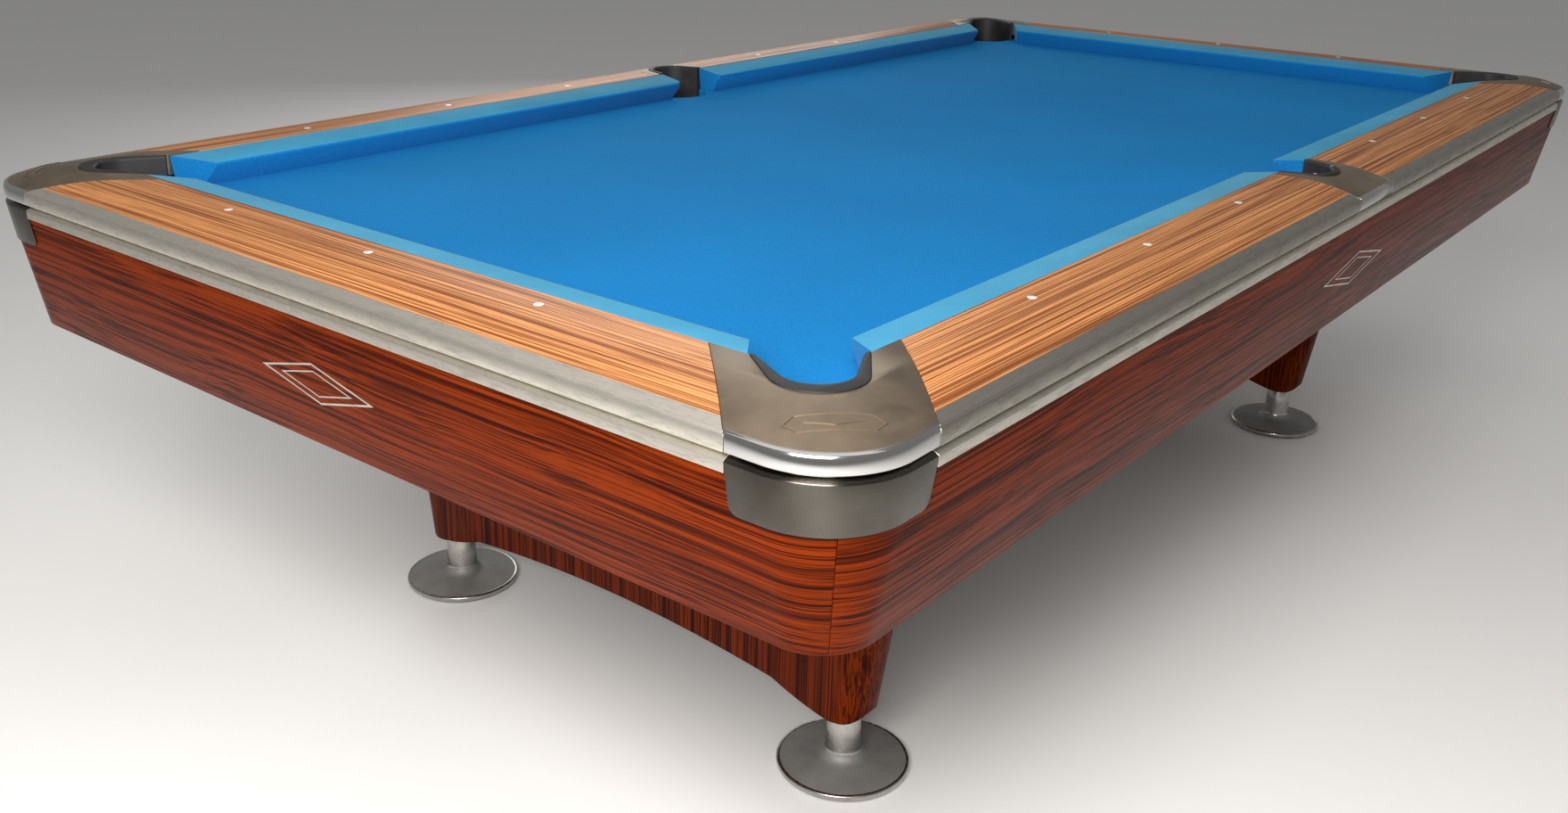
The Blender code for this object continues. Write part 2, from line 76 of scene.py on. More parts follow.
# Places and sizes that the frame gives
NOSE_X = -high("cushion_left").x
NOSE_Y = -high("cushion_front_left").y
RAIL_TOP = high("rail_left").z
RAIL_BOTTOM = low("rail_left").z
BED_TOP = high("bed_cloth").z
CLOTH_X, CLOTH_Y = high("bed_cloth").x, high("bed_cloth").y
SLATE_TOP = high("slate_centre").z
SLATE_BOTTOM = low("slate_centre").z
CUSHION_BACK = -low("cushion_left").x - NOSE_X
WOOD_IN = -high("rail_left").x - NOSE_X
WOOD_OUT = -low("rail_left").x - NOSE_X
EDGE_IN = -high("rail_trim_left").x - NOSE_X
EDGE_OUT = -low("rail_trim_left").x - NOSE_X
EDGE_BOTTOM = low("rail_trim_left").z
MITRE = NOSE_Y + WOOD_OUT - high("rail_left").y
SIDE_HALF = high("casting_centre_back").x
LONG_START = low("rail_back_right").x
NOSE_HEIGHT = RAIL_TOP - NOSE_DROP
CORNER_BACK = NOSE_Y - high("cushion_left").y
STRIP_TOP = high("lower_trim_left").z
STRIP_BOTTOM = low("lower_trim_left").z
STRIP_OUT = -low("lower_trim_left").x - NOSE_X
STRIP_END = high("lower_trim_left").y
SKIRT_BOTTOM = low("skirt_left_front").z
SKIRT_END = -high("skirt_left_front").y - NOSE_Y
CABINET_TOP = high("apron_left").z
CABINET_BOTTOM = low("apron_left").z
CABINET_OUT = -low("apron_left").x - NOSE_X
LINER_TOP = high("pocket_right_back").z
CUP_BOTTOM = low("pocket_right_back").z
PEDESTAL_X = (low("pedestal_right").x + high("pedestal_right").x) / 2
PEDESTAL_RADIUS = high("pedestal_right").x - PEDESTAL_X
PEDESTAL_TOP = high("pedestal_right").z
PEDESTAL_LOW = low("pedestal_right").z
PEDESTAL_END = high("pedestal_right").y
FOOT_Y = (low("foot_back_right").y + high("foot_back_right").y) / 2
FOOT_RADIUS = high("foot_back_right").y - FOOT_Y
STUD_TOP = high("foot_back_right").z
PAD_RADIUS = high("glide_pad_back_right").y - FOOT_Y
PAD_TOP = high("glide_pad_back_right").z

QUARTERS = {
    "front_left": (-1, -1),
    "back_left": (-1, 1),
    "front_right": (1, -1),
    "back_right": (1, 1),
}
ENDS = {"left": -1, "right": 1}
SIDES = {"front": -1, "back": 1}


def length(name, description, default):
    return FloatProperty(name=name, description=description, default=default, unit="LENGTH")


def colour(name, description, default):
    return FloatVectorProperty(name=name, description=description, subtype="COLOR", size=3, default=default)


def power(name, description, default):
    return FloatProperty(name=name, description=description, default=default, unit="POWER")


class ShapeSettings(bpy.types.PropertyGroup):
    """Sizes that the frame's boxes do not give."""

    crown_start: length("Crown start", "Set-back where the rail top starts to fall", 0.100)
    crown_radius: length("Crown radius", "Radius of the rail top's fall", 0.290)
    flat_edge: length("Flat edge", "Set-back where the metal edge's flat ends", 0.202)
    cabinet_foot: length("Cabinet foot", "Set-back of the cabinet's lower edge", 0.1675)
    panel_thickness: length("Panel thickness", "Thickness of a cabinet panel", 0.022)
    sight_radius: length("Sight radius", "Radius of a rail sight", 0.0060)
    sight_setback: length("Sight set-back", "Distance of the sights behind the nose", 0.0937)
    well_radius: length("Well radius", "Radius of the hole in the slate at a pocket", 0.066)
    arch_top: length("Arch top", "Height of the pedestal's arch in the middle", 0.148)
    cushion_foot: length("Cushion foot", "Set-back of a cushion's lower front edge", 0.023)
    nose_corner: length("Nose corner", "Radius in plan of a cushion's corner at a pocket", 0.011)
    corner_mouth: length("Corner mouth", "Cushion nose's end before the field's corner", 0.0785)
    casting_depth: length("Casting depth", "Thickness of a casting's plate", 0.032)
    arris_drop: length("Arris drop", "Lower strip's arris under the rail top", 0.047)
    strip_back: length("Strip back", "Set-back of the lower strip's hidden edge", 0.186)
    skirt_thickness: length("Skirt thickness", "Thickness of a corner skirt", 0.0026)
    skirt_corner: length("Skirt corner", "Radius of a skirt's lower corners", 0.012)
    inlay_height: length("Inlay height", "Height of a panel inlay's middle", 0.668)
    inlay_half_height: length("Inlay half height", "Half the height of a panel inlay", 0.030)
    cup_rim: length("Cup rim", "Height of the ball cups' rims", 0.742)
    cloth_thickness: length("Cloth thickness", "Thickness of the bed cloth", 0.0007)
    cloth_fold: length("Cloth fold", "Radius of the cloth's turn into a pocket", 0.0045)
    cloth_drop: length("Cloth drop", "How far the cloth hangs into a pocket", 0.0180)
    pedestal_lean: FloatProperty(
        name="Pedestal lean", description="Slope of the pedestals' ends", default=0.155, min=0.0
    )
    bolt_setback: length("Bolt set-back", "Distance of the rail bolts behind the nose", 0.082)
    corner_steps: IntProperty(
        name="Corner steps", description="Facets of a quarter turn", default=36, min=8, max=96
    )


class ColourSettings(bpy.types.PropertyGroup):
    """Main colours of the finishes."""

    cloth: colour("Cloth", "Wool of the bed", (0.006, 0.165, 0.440))
    # Paler than the cloth: painted light on the cushion tops, which are the same wool as the bed.
    cushion: colour("Cushion", "Wool of the cushion tops", (0.045, 0.260, 0.440))
    rail_light: colour("Rail light", "Light grain of the rails", (0.55, 0.235, 0.080))
    rail_dark: colour("Rail dark", "Dark grain of the rails", (0.15, 0.040, 0.010))
    cabinet_light: colour("Cabinet light", "Light grain of the cabinet", (0.165, 0.020, 0.0006))
    cabinet_dark: colour("Cabinet dark", "Dark grain of the cabinet", (0.022, 0.0018, 0.0003))
    nickel: colour("Nickel", "Cast corners", (0.33, 0.26, 0.19))
    aluminium: colour("Aluminium", "Rail edges and strips", (0.74, 0.70, 0.62))


class StudioSettings(bpy.types.PropertyGroup):
    """Lights of the studio."""

    key_power: power("Key power", "Light beside the camera", 118.0)
    top_power: power("Top power", "Wide light overhead", 22.0)
    back_power: power("Back power", "Wide light behind", 34.0)
    sky: FloatProperty(name="Sky", description="Brightness of the surroundings", default=0.23, min=0.0)


def shape():
    return bpy.context.scene.pool_table_shape


def colours():
    return bpy.context.scene.pool_table_colours


def studio():
    return bpy.context.scene.pool_table_studio


# Modelling helpers


def deselect_all():
    if bpy.context.mode != "OBJECT":
        bpy.ops.object.mode_set(mode="OBJECT")
    bpy.ops.object.select_all(action="DESELECT")


def activate(obj):
    deselect_all()
    obj.select_set(True)
    bpy.context.view_layer.objects.active = obj


def edit(obj, kind="FACE"):
    activate(obj)
    bpy.ops.object.mode_set(mode="EDIT")
    bpy.ops.mesh.select_mode(type=kind)


def select(kind, test):
    """In edit mode, selects the verts, edges or faces that pass the test."""
    mesh = bpy.context.edit_object.data
    bpy.ops.mesh.select_mode(type={"verts": "VERT", "edges": "EDGE", "faces": "FACE"}[kind])
    bpy.ops.mesh.select_all(action="DESELECT")
    bm = bmesh.from_edit_mesh(mesh)
    bm.normal_update()
    chosen = [item for item in getattr(bm, kind) if test(item)]
    for item in chosen:
        item.select_set(True)
    bm.select_flush_mode()
    bmesh.update_edit_mesh(mesh)
    return len(chosen)


def middle(item):
    """Middle of an edge or a face."""
    return sum((v.co for v in item.verts), Vector()) / len(item.verts)


def draw_face(name, points):
    """A face drawn from point to point by extrusion, then filled. It stays selected in edit mode."""
    deselect_all()
    bpy.ops.mesh.primitive_plane_add(size=0.001, location=(0, 0, 0))
    obj = bpy.context.object
    obj.name = name
    edit(obj, "VERT")
    bpy.ops.mesh.select_all(action="SELECT")
    bpy.ops.mesh.merge(type="CENTER")
    bpy.ops.transform.translate(value=points[0])
    for here, there in zip(points, points[1:]):
        extrude(tuple(Vector(there) - Vector(here)))
    bpy.ops.mesh.select_all(action="SELECT")
    bpy.ops.mesh.edge_face_add()
    bpy.ops.mesh.select_mode(type="FACE")
    bpy.ops.mesh.select_all(action="SELECT")
    return obj


def extrude(step):
    bpy.ops.mesh.extrude_region_move(TRANSFORM_OT_translate={"value": step})


def tidy_shell():
    """Merges doubles and turns the faces of a closed shell outwards."""
    bpy.ops.mesh.select_all(action="SELECT")
    bpy.ops.mesh.remove_doubles(threshold=1e-6)
    bpy.ops.mesh.normals_make_consistent(inside=False)
    bpy.ops.object.mode_set(mode="OBJECT")


def saw(point, normal):
    """Cuts the mesh being edited along a plane and drops what lies on the normal's side."""
    bpy.ops.mesh.select_all(action="SELECT")
    bpy.ops.mesh.bisect(plane_co=point, plane_no=normal, use_fill=True, clear_outer=True)


def prism(name, outline, bottom, top):
    obj = draw_face(name, [(x, y, bottom) for x, y in outline])
    extrude((0, 0, top - bottom))
    tidy_shell()
    return obj


def boolean(obj, other, operation="DIFFERENCE", keep=False):
    activate(obj)
    modifier = obj.modifiers.new(operation.title(), "BOOLEAN")
    modifier.operation = operation
    modifier.object = other
    bpy.ops.object.modifier_apply(modifier=modifier.name)
    if not keep:
        bpy.data.objects.remove(other, do_unlink=True)


def bevel(width, segments=2, clamp=True):
    bpy.ops.mesh.bevel(offset=width, segments=segments, profile=0.5, clamp_overlap=clamp, affect="EDGES")


def copy_of(obj, name, sx=1, sy=1):
    """A copy with its own mesh, mirrored where a sign is negative."""
    activate(obj)
    bpy.ops.object.duplicate()
    copy = bpy.context.object
    copy.name = copy.data.name = name
    if (sx, sy) != (1, 1):
        bpy.ops.object.mode_set(mode="EDIT")
        bpy.ops.mesh.select_all(action="SELECT")
        bpy.ops.transform.resize(value=(sx, sy, 1), center_override=(0, 0, 0))
        bpy.ops.mesh.remove_doubles(threshold=1e-6)
        bpy.ops.mesh.normals_make_consistent(inside=False)
        bpy.ops.object.mode_set(mode="OBJECT")
    return copy


def finish(obj, name, material, replaces=(), body="table", angle=35):
    """Names a piece, settles its shading and finish, and hangs it on its body."""
    activate(obj)
    obj.name = obj.data.name = name
    bpy.ops.object.transform_apply(location=True, rotation=True, scale=True)
    bpy.ops.object.shade_smooth_by_angle(angle=math.radians(angle))
    if not obj.data.materials:
        obj.data.materials.append(material)
    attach(obj, body)
    if replaces:
        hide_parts(*replaces)
    return obj


def remove(obj):
    bpy.data.objects.remove(obj, do_unlink=True)


# Shapes that several pieces share


def crown(setback):
    """Height of the rail top, which falls away in an arc towards its outer edge."""
    past = max(setback - shape().crown_start, 0.0)
    return RAIL_TOP - past * past / (2 * shape().crown_radius)


def crown_line(start, end, steps):
    setbacks = [start + (end - start) * i / steps for i in range(steps + 1)]
    return [(s, crown(s)) for s in setbacks]


def bullnose_line():
    """From the flat's outer edge round the nose to its underside."""
    flat = shape().flat_edge
    top, bulge = crown(flat), EDGE_OUT - flat
    centre, half = (top + EDGE_BOTTOM) / 2, (top - EDGE_BOTTOM) / 2
    angles = [math.radians(90 - 180 * i / 16) for i in range(17)]
    return [
        (flat + bulge * math.cos(a) ** 0.8, centre + half * math.sin(a)) for a in angles[:-1]
    ] + [(flat - 0.001, EDGE_BOTTOM)]


def cabinet_face(height):
    """Set-back of the cabinet's outer face, which leans in towards the floor."""
    part = (height - CABINET_BOTTOM) / (CABINET_TOP - CABINET_BOTTOM)
    return shape().cabinet_foot + part * (CABINET_OUT - shape().cabinet_foot)


def run_of(point, along_x):
    """How far along its side a point of the edge lies, measured round the corner, and its set-back."""
    turn = shape().crown_start
    x, y = abs(point.x), abs(point.y)
    past_x, past_y = x - NOSE_X - turn, y - NOSE_Y - turn
    if past_x > 0 and past_y > 0:
        angle = math.atan2(past_x, past_y)
        setback = turn + math.hypot(past_x, past_y)
        run = (NOSE_X + turn + turn * angle) if along_x else (NOSE_Y + turn + turn * (math.pi / 2 - angle))
    else:
        setback = max(past_x, past_y) + turn
        run = x if along_x else y
        if along_x and past_x > past_y:
            run = NOSE_X + turn + turn * math.pi / 2 + (NOSE_Y + turn - y)
        if not along_x and past_y > past_x:
            run = NOSE_Y + turn + turn * math.pi / 2 + (NOSE_X + turn - x)
    return math.copysign(run, point.x if along_x else point.y), setback


def write_grain(obj, rule):
    """Stores a vector on each point, which the finishes read as the way that the grain or brushing runs."""
    attribute = obj.data.attributes.new("grain", "FLOAT_VECTOR", "POINT")
    values = [c for v in obj.data.vertices for c in rule(v.co)]
    attribute.data.foreach_set("vector", values)


def grain_along(along_x, shift=0.0):
    """Grain that runs with a rail or a panel: along it, across it and up."""

    def rule(point):
        run, setback = run_of(point, along_x)
        return run + 7.3 * shift, setback + 0.91 * shift, point.z

    return rule


# Finishes


def shades(base, dark, light):
    """A colour made darker and lighter by two factors."""
    return tuple(c * dark for c in base), tuple(c * light for c in base)


class Finish:
    """A material under construction: nodes are added by kind, with inputs given by name."""

    def __init__(self, name):
        self.material = bpy.data.materials.new(name)
        self.material.use_nodes = True
        self.tree = self.material.node_tree
        self.shader = self.tree.nodes["Principled BSDF"]

    def add(self, kind, settings=None, **inputs):
        node = self.tree.nodes.new("ShaderNode" + kind)
        for key, value in (settings or {}).items():
            setattr(node, key, value)
        for key, value in inputs.items():
            self.put(node, key, value)
        return node

    def put(self, node, key, value):
        socket = node.inputs[int(key[1:]) if key[1:].isdigit() else key.replace("_", " ")]
        if isinstance(value, bpy.types.NodeSocket):
            self.tree.links.new(value, socket)
        elif isinstance(value, bpy.types.Node):
            self.tree.links.new(value.outputs[0], socket)
        else:
            socket.default_value = value

    def set(self, **inputs):
        for key, value in inputs.items():
            self.put(self.shader, key, value)

    def place(self, source="Object"):
        """Coordinates: the piece's own object space, or the grain vector stored on it."""
        if source == "Object":
            return self.add("TexCoord").outputs["Object"]
        return self.add("Attribute", {"attribute_name": source}).outputs["Vector"]

    def noise(
        self, where, scale, detail=2.0, stretch=(1, 1, 1), roughness=0.5, distortion=0.0, shift=(0, 0, 0)
    ):
        mapped = self.add("Mapping", Vector=where, Scale=stretch, Location=shift)
        return self.add(
            "TexNoise", Vector=mapped, Scale=scale, Detail=detail, Roughness=roughness, Distortion=distortion
        ).outputs["Fac"]

    def ramp(self, value, *stops):
        """A colour ramp; each stop is a place and a grey or a colour."""
        node = self.add("ValToRGB", Fac=value)
        elements = node.color_ramp.elements
        while len(elements) < len(stops):
            elements.new(0.5)
        for element, (where, colour) in zip(elements, stops):
            element.position = where
            element.color = (colour,) * 3 + (1.0,) if isinstance(colour, float) else (*colour, 1.0)
        return node.outputs["Color"]

    def mix(self, share, first, second, blend="MIX"):
        node = self.add("Mix", {"data_type": "RGBA", "blend_type": blend})
        for key, value in (("#0", share), ("#6", first), ("#7", second)):
            if isinstance(value, tuple) and len(value) == 3:
                value = (*value, 1.0)
            self.put(node, key, value)
        return node.outputs["Result"]

    def maths(self, operation, *values):
        node = self.add("Math", {"operation": operation})
        for i, value in enumerate(values):
            self.put(node, f"#{i}", value)
        return node.outputs[0]

    def between(self, value, low_in, high_in, low_out, high_out):
        return self.add(
            "MapRange", Value=value, From_Min=low_in, From_Max=high_in, To_Min=low_out, To_Max=high_out
        ).outputs[0]

    def bump(self, height, distance, strength=1.0, after=None):
        node = self.add("Bump", Height=height, Distance=distance, Strength=strength)
        if after is not None:
            self.put(node, "Normal", after)
        self.set(Normal=node.outputs[0])
        return node.outputs[0]


FINISHES = {}


def finish_for(name, build):
    """Each finish is made once and shared."""
    if name not in FINISHES:
        FINISHES[name] = build()
    return FINISHES[name]


def make_bed_wool():
    f = Finish("bed_wool")
    where = f.place()
    base = tuple(colours().cloth)
    cloudy = f.noise(where, 2.2, 4)
    nap = f.noise(where, 420, 3, stretch=(0.35, 1, 1))
    tone = f.mix(f.between(cloudy, 0.35, 0.7, 0.0, 1.0), *shades(base, 0.86, 1.12))
    fibre = f.mix(f.between(nap, 0.3, 0.7, 0.0, 1.0), *shades(base, 0.80, 1.25))
    worn = f.mix(0.45, tone, fibre)
    chalk = f.ramp(f.noise(where, 95, 5, roughness=0.75), (0.66, 0.0), (0.80, 1.0))
    f.set(Base_Color=f.mix(f.maths("MULTIPLY", chalk, 0.10), worn, (0.20, 0.45, 0.62)))
    f.set(Roughness=0.92, Sheen_Weight=0.08, Sheen_Roughness=0.45, Sheen_Tint=(0.05, 0.55, 0.9, 1.0))
    f.set(Specular_IOR_Level=0.10)
    weave = f.noise(where, 1900, 1)
    f.bump(f.maths("ADD", weave, nap), 0.00035, 0.55)
    return f.material


def make_cushion_wool():
    f = Finish("cushion_wool")
    where = f.place()
    base, side = tuple(colours().cushion), tuple(colours().cloth)
    up = f.add("SeparateXYZ", Vector=f.add("NewGeometry").outputs["Normal"]).outputs["Z"]
    nap = f.noise(where, 380, 3)
    top_mottle = f.noise(where, 5.0, 4, roughness=0.65)
    # Random mottle on the tops; the paler top colour itself is painted light.
    top = f.mix(f.between(top_mottle, 0.3, 0.7, 0.0, 1.0), *shades(base, 0.86, 1.10))
    face = f.mix(f.between(nap, 0.3, 0.7, 0.0, 1.0), *shades(side, 0.85, 1.20))
    # Faces that point up take the paler cushion colour: painted light on the tops, as tops and faces are the
    # same wool.
    f.set(Base_Color=f.mix(f.between(up, 0.45, 0.85, 0.0, 1.0), face, top))
    f.set(Roughness=0.9, Sheen_Weight=0.14, Sheen_Roughness=0.4, Sheen_Tint=(0.35, 0.75, 0.9, 1.0))
    f.set(Specular_IOR_Level=0.12)
    weave = f.noise(where, 1700, 1)
    f.bump(f.maths("ADD", weave, nap), 0.0004, 0.6)
    return f.material


def streaks(f, where, light, mid, dark, wide=70.0, wander=0.012, deep=0.85, cover=0.38):
    """Straight-grained veneer: broad bands, fine dark lines and short pores, all along the grain."""
    drift = f.noise(where, 1.0, 2, stretch=(1.3, 3.0, 3.0))
    shift = f.maths("MULTIPLY", f.maths("SUBTRACT", drift, 0.5), wander)
    split = f.add("SeparateXYZ", Vector=where)
    across = f.maths("ADD", split.outputs["Y"], shift)
    up = f.maths("ADD", split.outputs["Z"], shift)
    bent = f.add("CombineXYZ", X=split.outputs["X"], Y=across, Z=up).outputs[0]
    bands = f.noise(bent, 1.0, 3, stretch=(0.8, wide, wide), roughness=0.6)
    lines = f.noise(bent, 1.0, 2, stretch=(1.6, wide * 4.2, wide * 4.2), roughness=0.7)
    pores = f.noise(bent, 1.0, 1, stretch=(22, 1500, 1500))
    body = f.ramp(bands, (0.32, mid), (0.47, light), (0.56, tuple(c * 1.12 for c in light)), (0.66, mid))
    lined = f.mix(f.ramp(lines, (0.47, 0.0), (0.60, 0.92)), body, dark)
    broad = f.mix(f.ramp(bands, (cover - 0.10, deep), (cover, 0.0)), lined, dark)
    pitted = f.mix(
        f.maths("MULTIPLY", f.ramp(pores, (0.60, 0.0), (0.70, 1.0)), 0.35),
        broad,
        tuple(c * 0.5 for c in dark),
    )
    return pitted, lines, pores


def make_rail_laminate():
    f = Finish("rail_laminate")
    where = f.place("grain")
    light, dark = tuple(colours().rail_light), tuple(colours().rail_dark)
    mid = tuple(0.6 * a + 0.4 * b for a, b in zip(light, dark))
    colour, lines, pores = streaks(
        f, where, light, mid, dark, wide=115.0, wander=0.005, deep=0.85, cover=0.475
    )
    f.set(Base_Color=colour, Roughness=f.between(lines, 0.3, 0.7, 0.34, 0.46))
    f.set(Specular_IOR_Level=0.22)
    f.bump(f.maths("ADD", lines, pores), 0.00012, 0.5)
    return f.material


def make_cabinet_laminate():
    f = Finish("cabinet_laminate")
    where = f.place("grain")
    light, dark = tuple(colours().cabinet_light), tuple(colours().cabinet_dark)
    mid = tuple(0.5 * a + 0.5 * b for a, b in zip(light, dark))
    colour, lines, pores = streaks(f, where, light, mid, dark, wide=80.0, wander=0.040, deep=0.8, cover=0.44)
    f.set(Base_Color=colour, Roughness=f.between(lines, 0.3, 0.7, 0.24, 0.34))
    f.set(Specular_IOR_Level=0.04)
    f.bump(f.maths("ADD", lines, pores), 0.00008, 0.4)
    return f.material


def make_pedestal_laminate():
    f = Finish("pedestal_laminate")
    where = f.place("grain")
    light = tuple(c * 0.95 for c in colours().cabinet_light)
    dark = tuple(c * 0.8 for c in colours().cabinet_dark)
    mid = tuple(0.45 * a + 0.55 * b for a, b in zip(light, dark))
    colour, lines, pores = streaks(f, where, light, mid, dark, wide=110.0, wander=0.010, deep=0.8, cover=0.46)
    f.set(Base_Color=colour, Roughness=f.between(lines, 0.3, 0.7, 0.30, 0.42))
    f.set(Specular_IOR_Level=0.04)
    f.bump(f.maths("ADD", lines, pores), 0.0001, 0.4)
    return f.material


def make_cast_nickel():
    """Satin top, polished from the flat's outer edge outwards."""
    f = Finish("cast_nickel")
    where = f.place()
    setback = f.add("SeparateXYZ", Vector=f.place("grain")).outputs["Y"]
    polish = f.between(setback, shape().flat_edge - 0.0045, shape().flat_edge - 0.0015, 0.0, 1.0)
    base = tuple(colours().nickel)
    stain = f.noise(where, 9, 5, roughness=0.7)
    grit = f.noise(where, 700, 3, roughness=0.8)
    dull = f.mix(f.between(stain, 0.3, 0.7, 0.0, 1.0), *shades(base, 0.72, 1.12))
    f.set(Base_Color=f.mix(polish, dull, (0.62, 0.61, 0.60)), Metallic=1.0)
    worn = f.maths("ADD", f.between(stain, 0.3, 0.7, 0.34, 0.50), f.maths("MULTIPLY", grit, 0.10))
    satin = f.maths("MULTIPLY", worn, f.maths("SUBTRACT", 1.0, polish))
    f.set(Roughness=f.maths("ADD", satin, f.maths("MULTIPLY", polish, 0.13)))
    f.bump(f.maths("MULTIPLY", grit, f.maths("SUBTRACT", 1.0, polish)), 0.00010, 0.35)
    return f.material


def make_brushed_nickel():
    f = Finish("brushed_nickel")
    where = f.place("grain")
    brushing = f.noise(where, 1.0, 3, stretch=(6, 2600, 2600), roughness=0.7)
    stain = f.noise(where, 8, 4)
    # The base colour is far darker than nickel: painted shade, standing in for dark surroundings reflected in
    # the brushed skirts.
    f.set(
        Base_Color=f.mix(f.between(stain, 0.3, 0.7, 0.0, 1.0), (0.075, 0.066, 0.056), (0.15, 0.138, 0.12)),
        Metallic=1.0,
    )
    f.set(Roughness=f.between(brushing, 0.25, 0.75, 0.22, 0.33), Anisotropic=0.88, Anisotropic_Rotation=0.25)
    f.bump(brushing, 0.00006, 0.5)
    return f.material


def make_edge_aluminium(name="edge_aluminium", dull=1.0):
    f = Finish(name)
    where = f.place("grain")
    drawn = f.noise(where, 1.0, 3, stretch=(3, 1500, 1500), roughness=0.7)
    scuffs = f.noise(where, 1.0, 5, stretch=(24, 130, 130), roughness=0.75, distortion=0.6)
    # A dull factor below 1 darkens the whole colour: painted shade.
    base = tuple(dull * c for c in colours().aluminium)
    worn = f.mix(f.ramp(scuffs, (0.46, 0.0), (0.66, 1.0)), base, tuple(c * 0.70 for c in base))
    f.set(Base_Color=worn, Metallic=1.0)
    f.set(Roughness=f.maths("ADD", f.between(scuffs, 0.3, 0.7, 0.34, 0.50), f.maths("MULTIPLY", drawn, 0.08)))
    f.bump(f.maths("ADD", drawn, scuffs), 0.00007, 0.5)
    return f.material


def make_painted_shade_aluminium():
    """The long edges are darker: painted shade for the long sides, which the light falls on less."""
    return make_edge_aluminium("handled_aluminium", 0.55)


def make_pocket_rubber():
    f = Finish("pocket_rubber")
    where = f.place()
    grain = f.noise(where, 900, 3, roughness=0.7)
    dust = f.noise(where, 26, 4, roughness=0.7)
    f.set(
        Base_Color=f.mix(f.between(dust, 0.4, 0.75, 0.0, 0.6), (0.012, 0.012, 0.013), (0.035, 0.033, 0.032))
    )
    f.set(Roughness=f.between(dust, 0.3, 0.7, 0.48, 0.66), Specular_IOR_Level=0.4)
    f.bump(grain, 0.00018, 0.5)
    return f.material


def make_foot_cast():
    f = Finish("foot_cast")
    where = f.place()
    grit = f.noise(where, 1300, 3, roughness=0.8)
    stain = f.noise(where, 22, 4)
    f.set(
        Base_Color=f.mix(f.between(stain, 0.3, 0.7, 0.0, 1.0), (0.25, 0.245, 0.235), (0.33, 0.325, 0.31)),
        Metallic=0.45,
    )
    f.set(Roughness=f.between(grit, 0.3, 0.7, 0.50, 0.66))
    f.bump(grit, 0.0003, 0.7)
    return f.material


def make_foot_turned():
    f = Finish("foot_turned")
    where = f.place()
    rings = f.noise(where, 1.0, 3, stretch=(90, 90, 2400))
    stain = f.noise(where, 40, 4, roughness=0.7)
    f.set(
        Base_Color=f.mix(f.between(stain, 0.3, 0.7, 0.0, 1.0), (0.40, 0.385, 0.365), (0.54, 0.525, 0.50)),
        Metallic=1.0,
    )
    f.set(Roughness=f.between(rings, 0.3, 0.7, 0.20, 0.34))
    f.bump(rings, 0.00005, 0.4)
    return f.material


def make_steel():
    f = Finish("zinc_steel")
    stain = f.noise(f.place(), 160, 4)
    f.set(Base_Color=f.mix(stain, (0.32, 0.32, 0.33), (0.55, 0.54, 0.52)), Metallic=1.0)
    f.set(Roughness=f.between(stain, 0.3, 0.7, 0.28, 0.45))
    return f.material


def make_sight_shell():
    f = Finish("sight_shell")
    cloud = f.noise(f.place(), 260, 3, distortion=1.2)
    f.set(Base_Color=f.mix(cloud, (0.66, 0.64, 0.60), (0.88, 0.88, 0.86)), Roughness=0.22, Coat_Weight=0.4)
    return f.material


def make_slate_stone():
    f = Finish("slate_stone")
    where = f.place()
    layers = f.noise(where, 1.0, 4, stretch=(3, 3, 260), roughness=0.6)
    cloud = f.noise(where, 6, 5)
    f.set(
        Base_Color=f.mix(f.maths("MULTIPLY", layers, cloud), (0.05, 0.055, 0.06), (0.17, 0.18, 0.19)),
        Roughness=0.78,
    )
    f.bump(layers, 0.0004, 0.5)
    return f.material


def make_frame_timber():
    f = Finish("frame_timber")
    where = f.place()
    rings = f.noise(where, 1.0, 3, stretch=(4, 34, 34), distortion=0.8)
    fibre = f.noise(where, 1.0, 2, stretch=(30, 900, 900))
    early, late, heart = (0.30, 0.17, 0.075), (0.50, 0.33, 0.17), (0.38, 0.22, 0.10)
    f.set(Base_Color=f.ramp(rings, (0.35, early), (0.5, late), (0.62, heart)))
    f.set(Roughness=0.68)
    f.bump(fibre, 0.0003, 0.5)
    return f.material


def make_pad_felt():
    f = Finish("pad_rubber")
    grain = f.noise(f.place(), 800, 3)
    f.set(Base_Color=f.mix(grain, (0.018, 0.018, 0.018), (0.05, 0.05, 0.05)), Roughness=0.85)
    f.bump(grain, 0.0003, 0.6)
    return f.material


# Operators


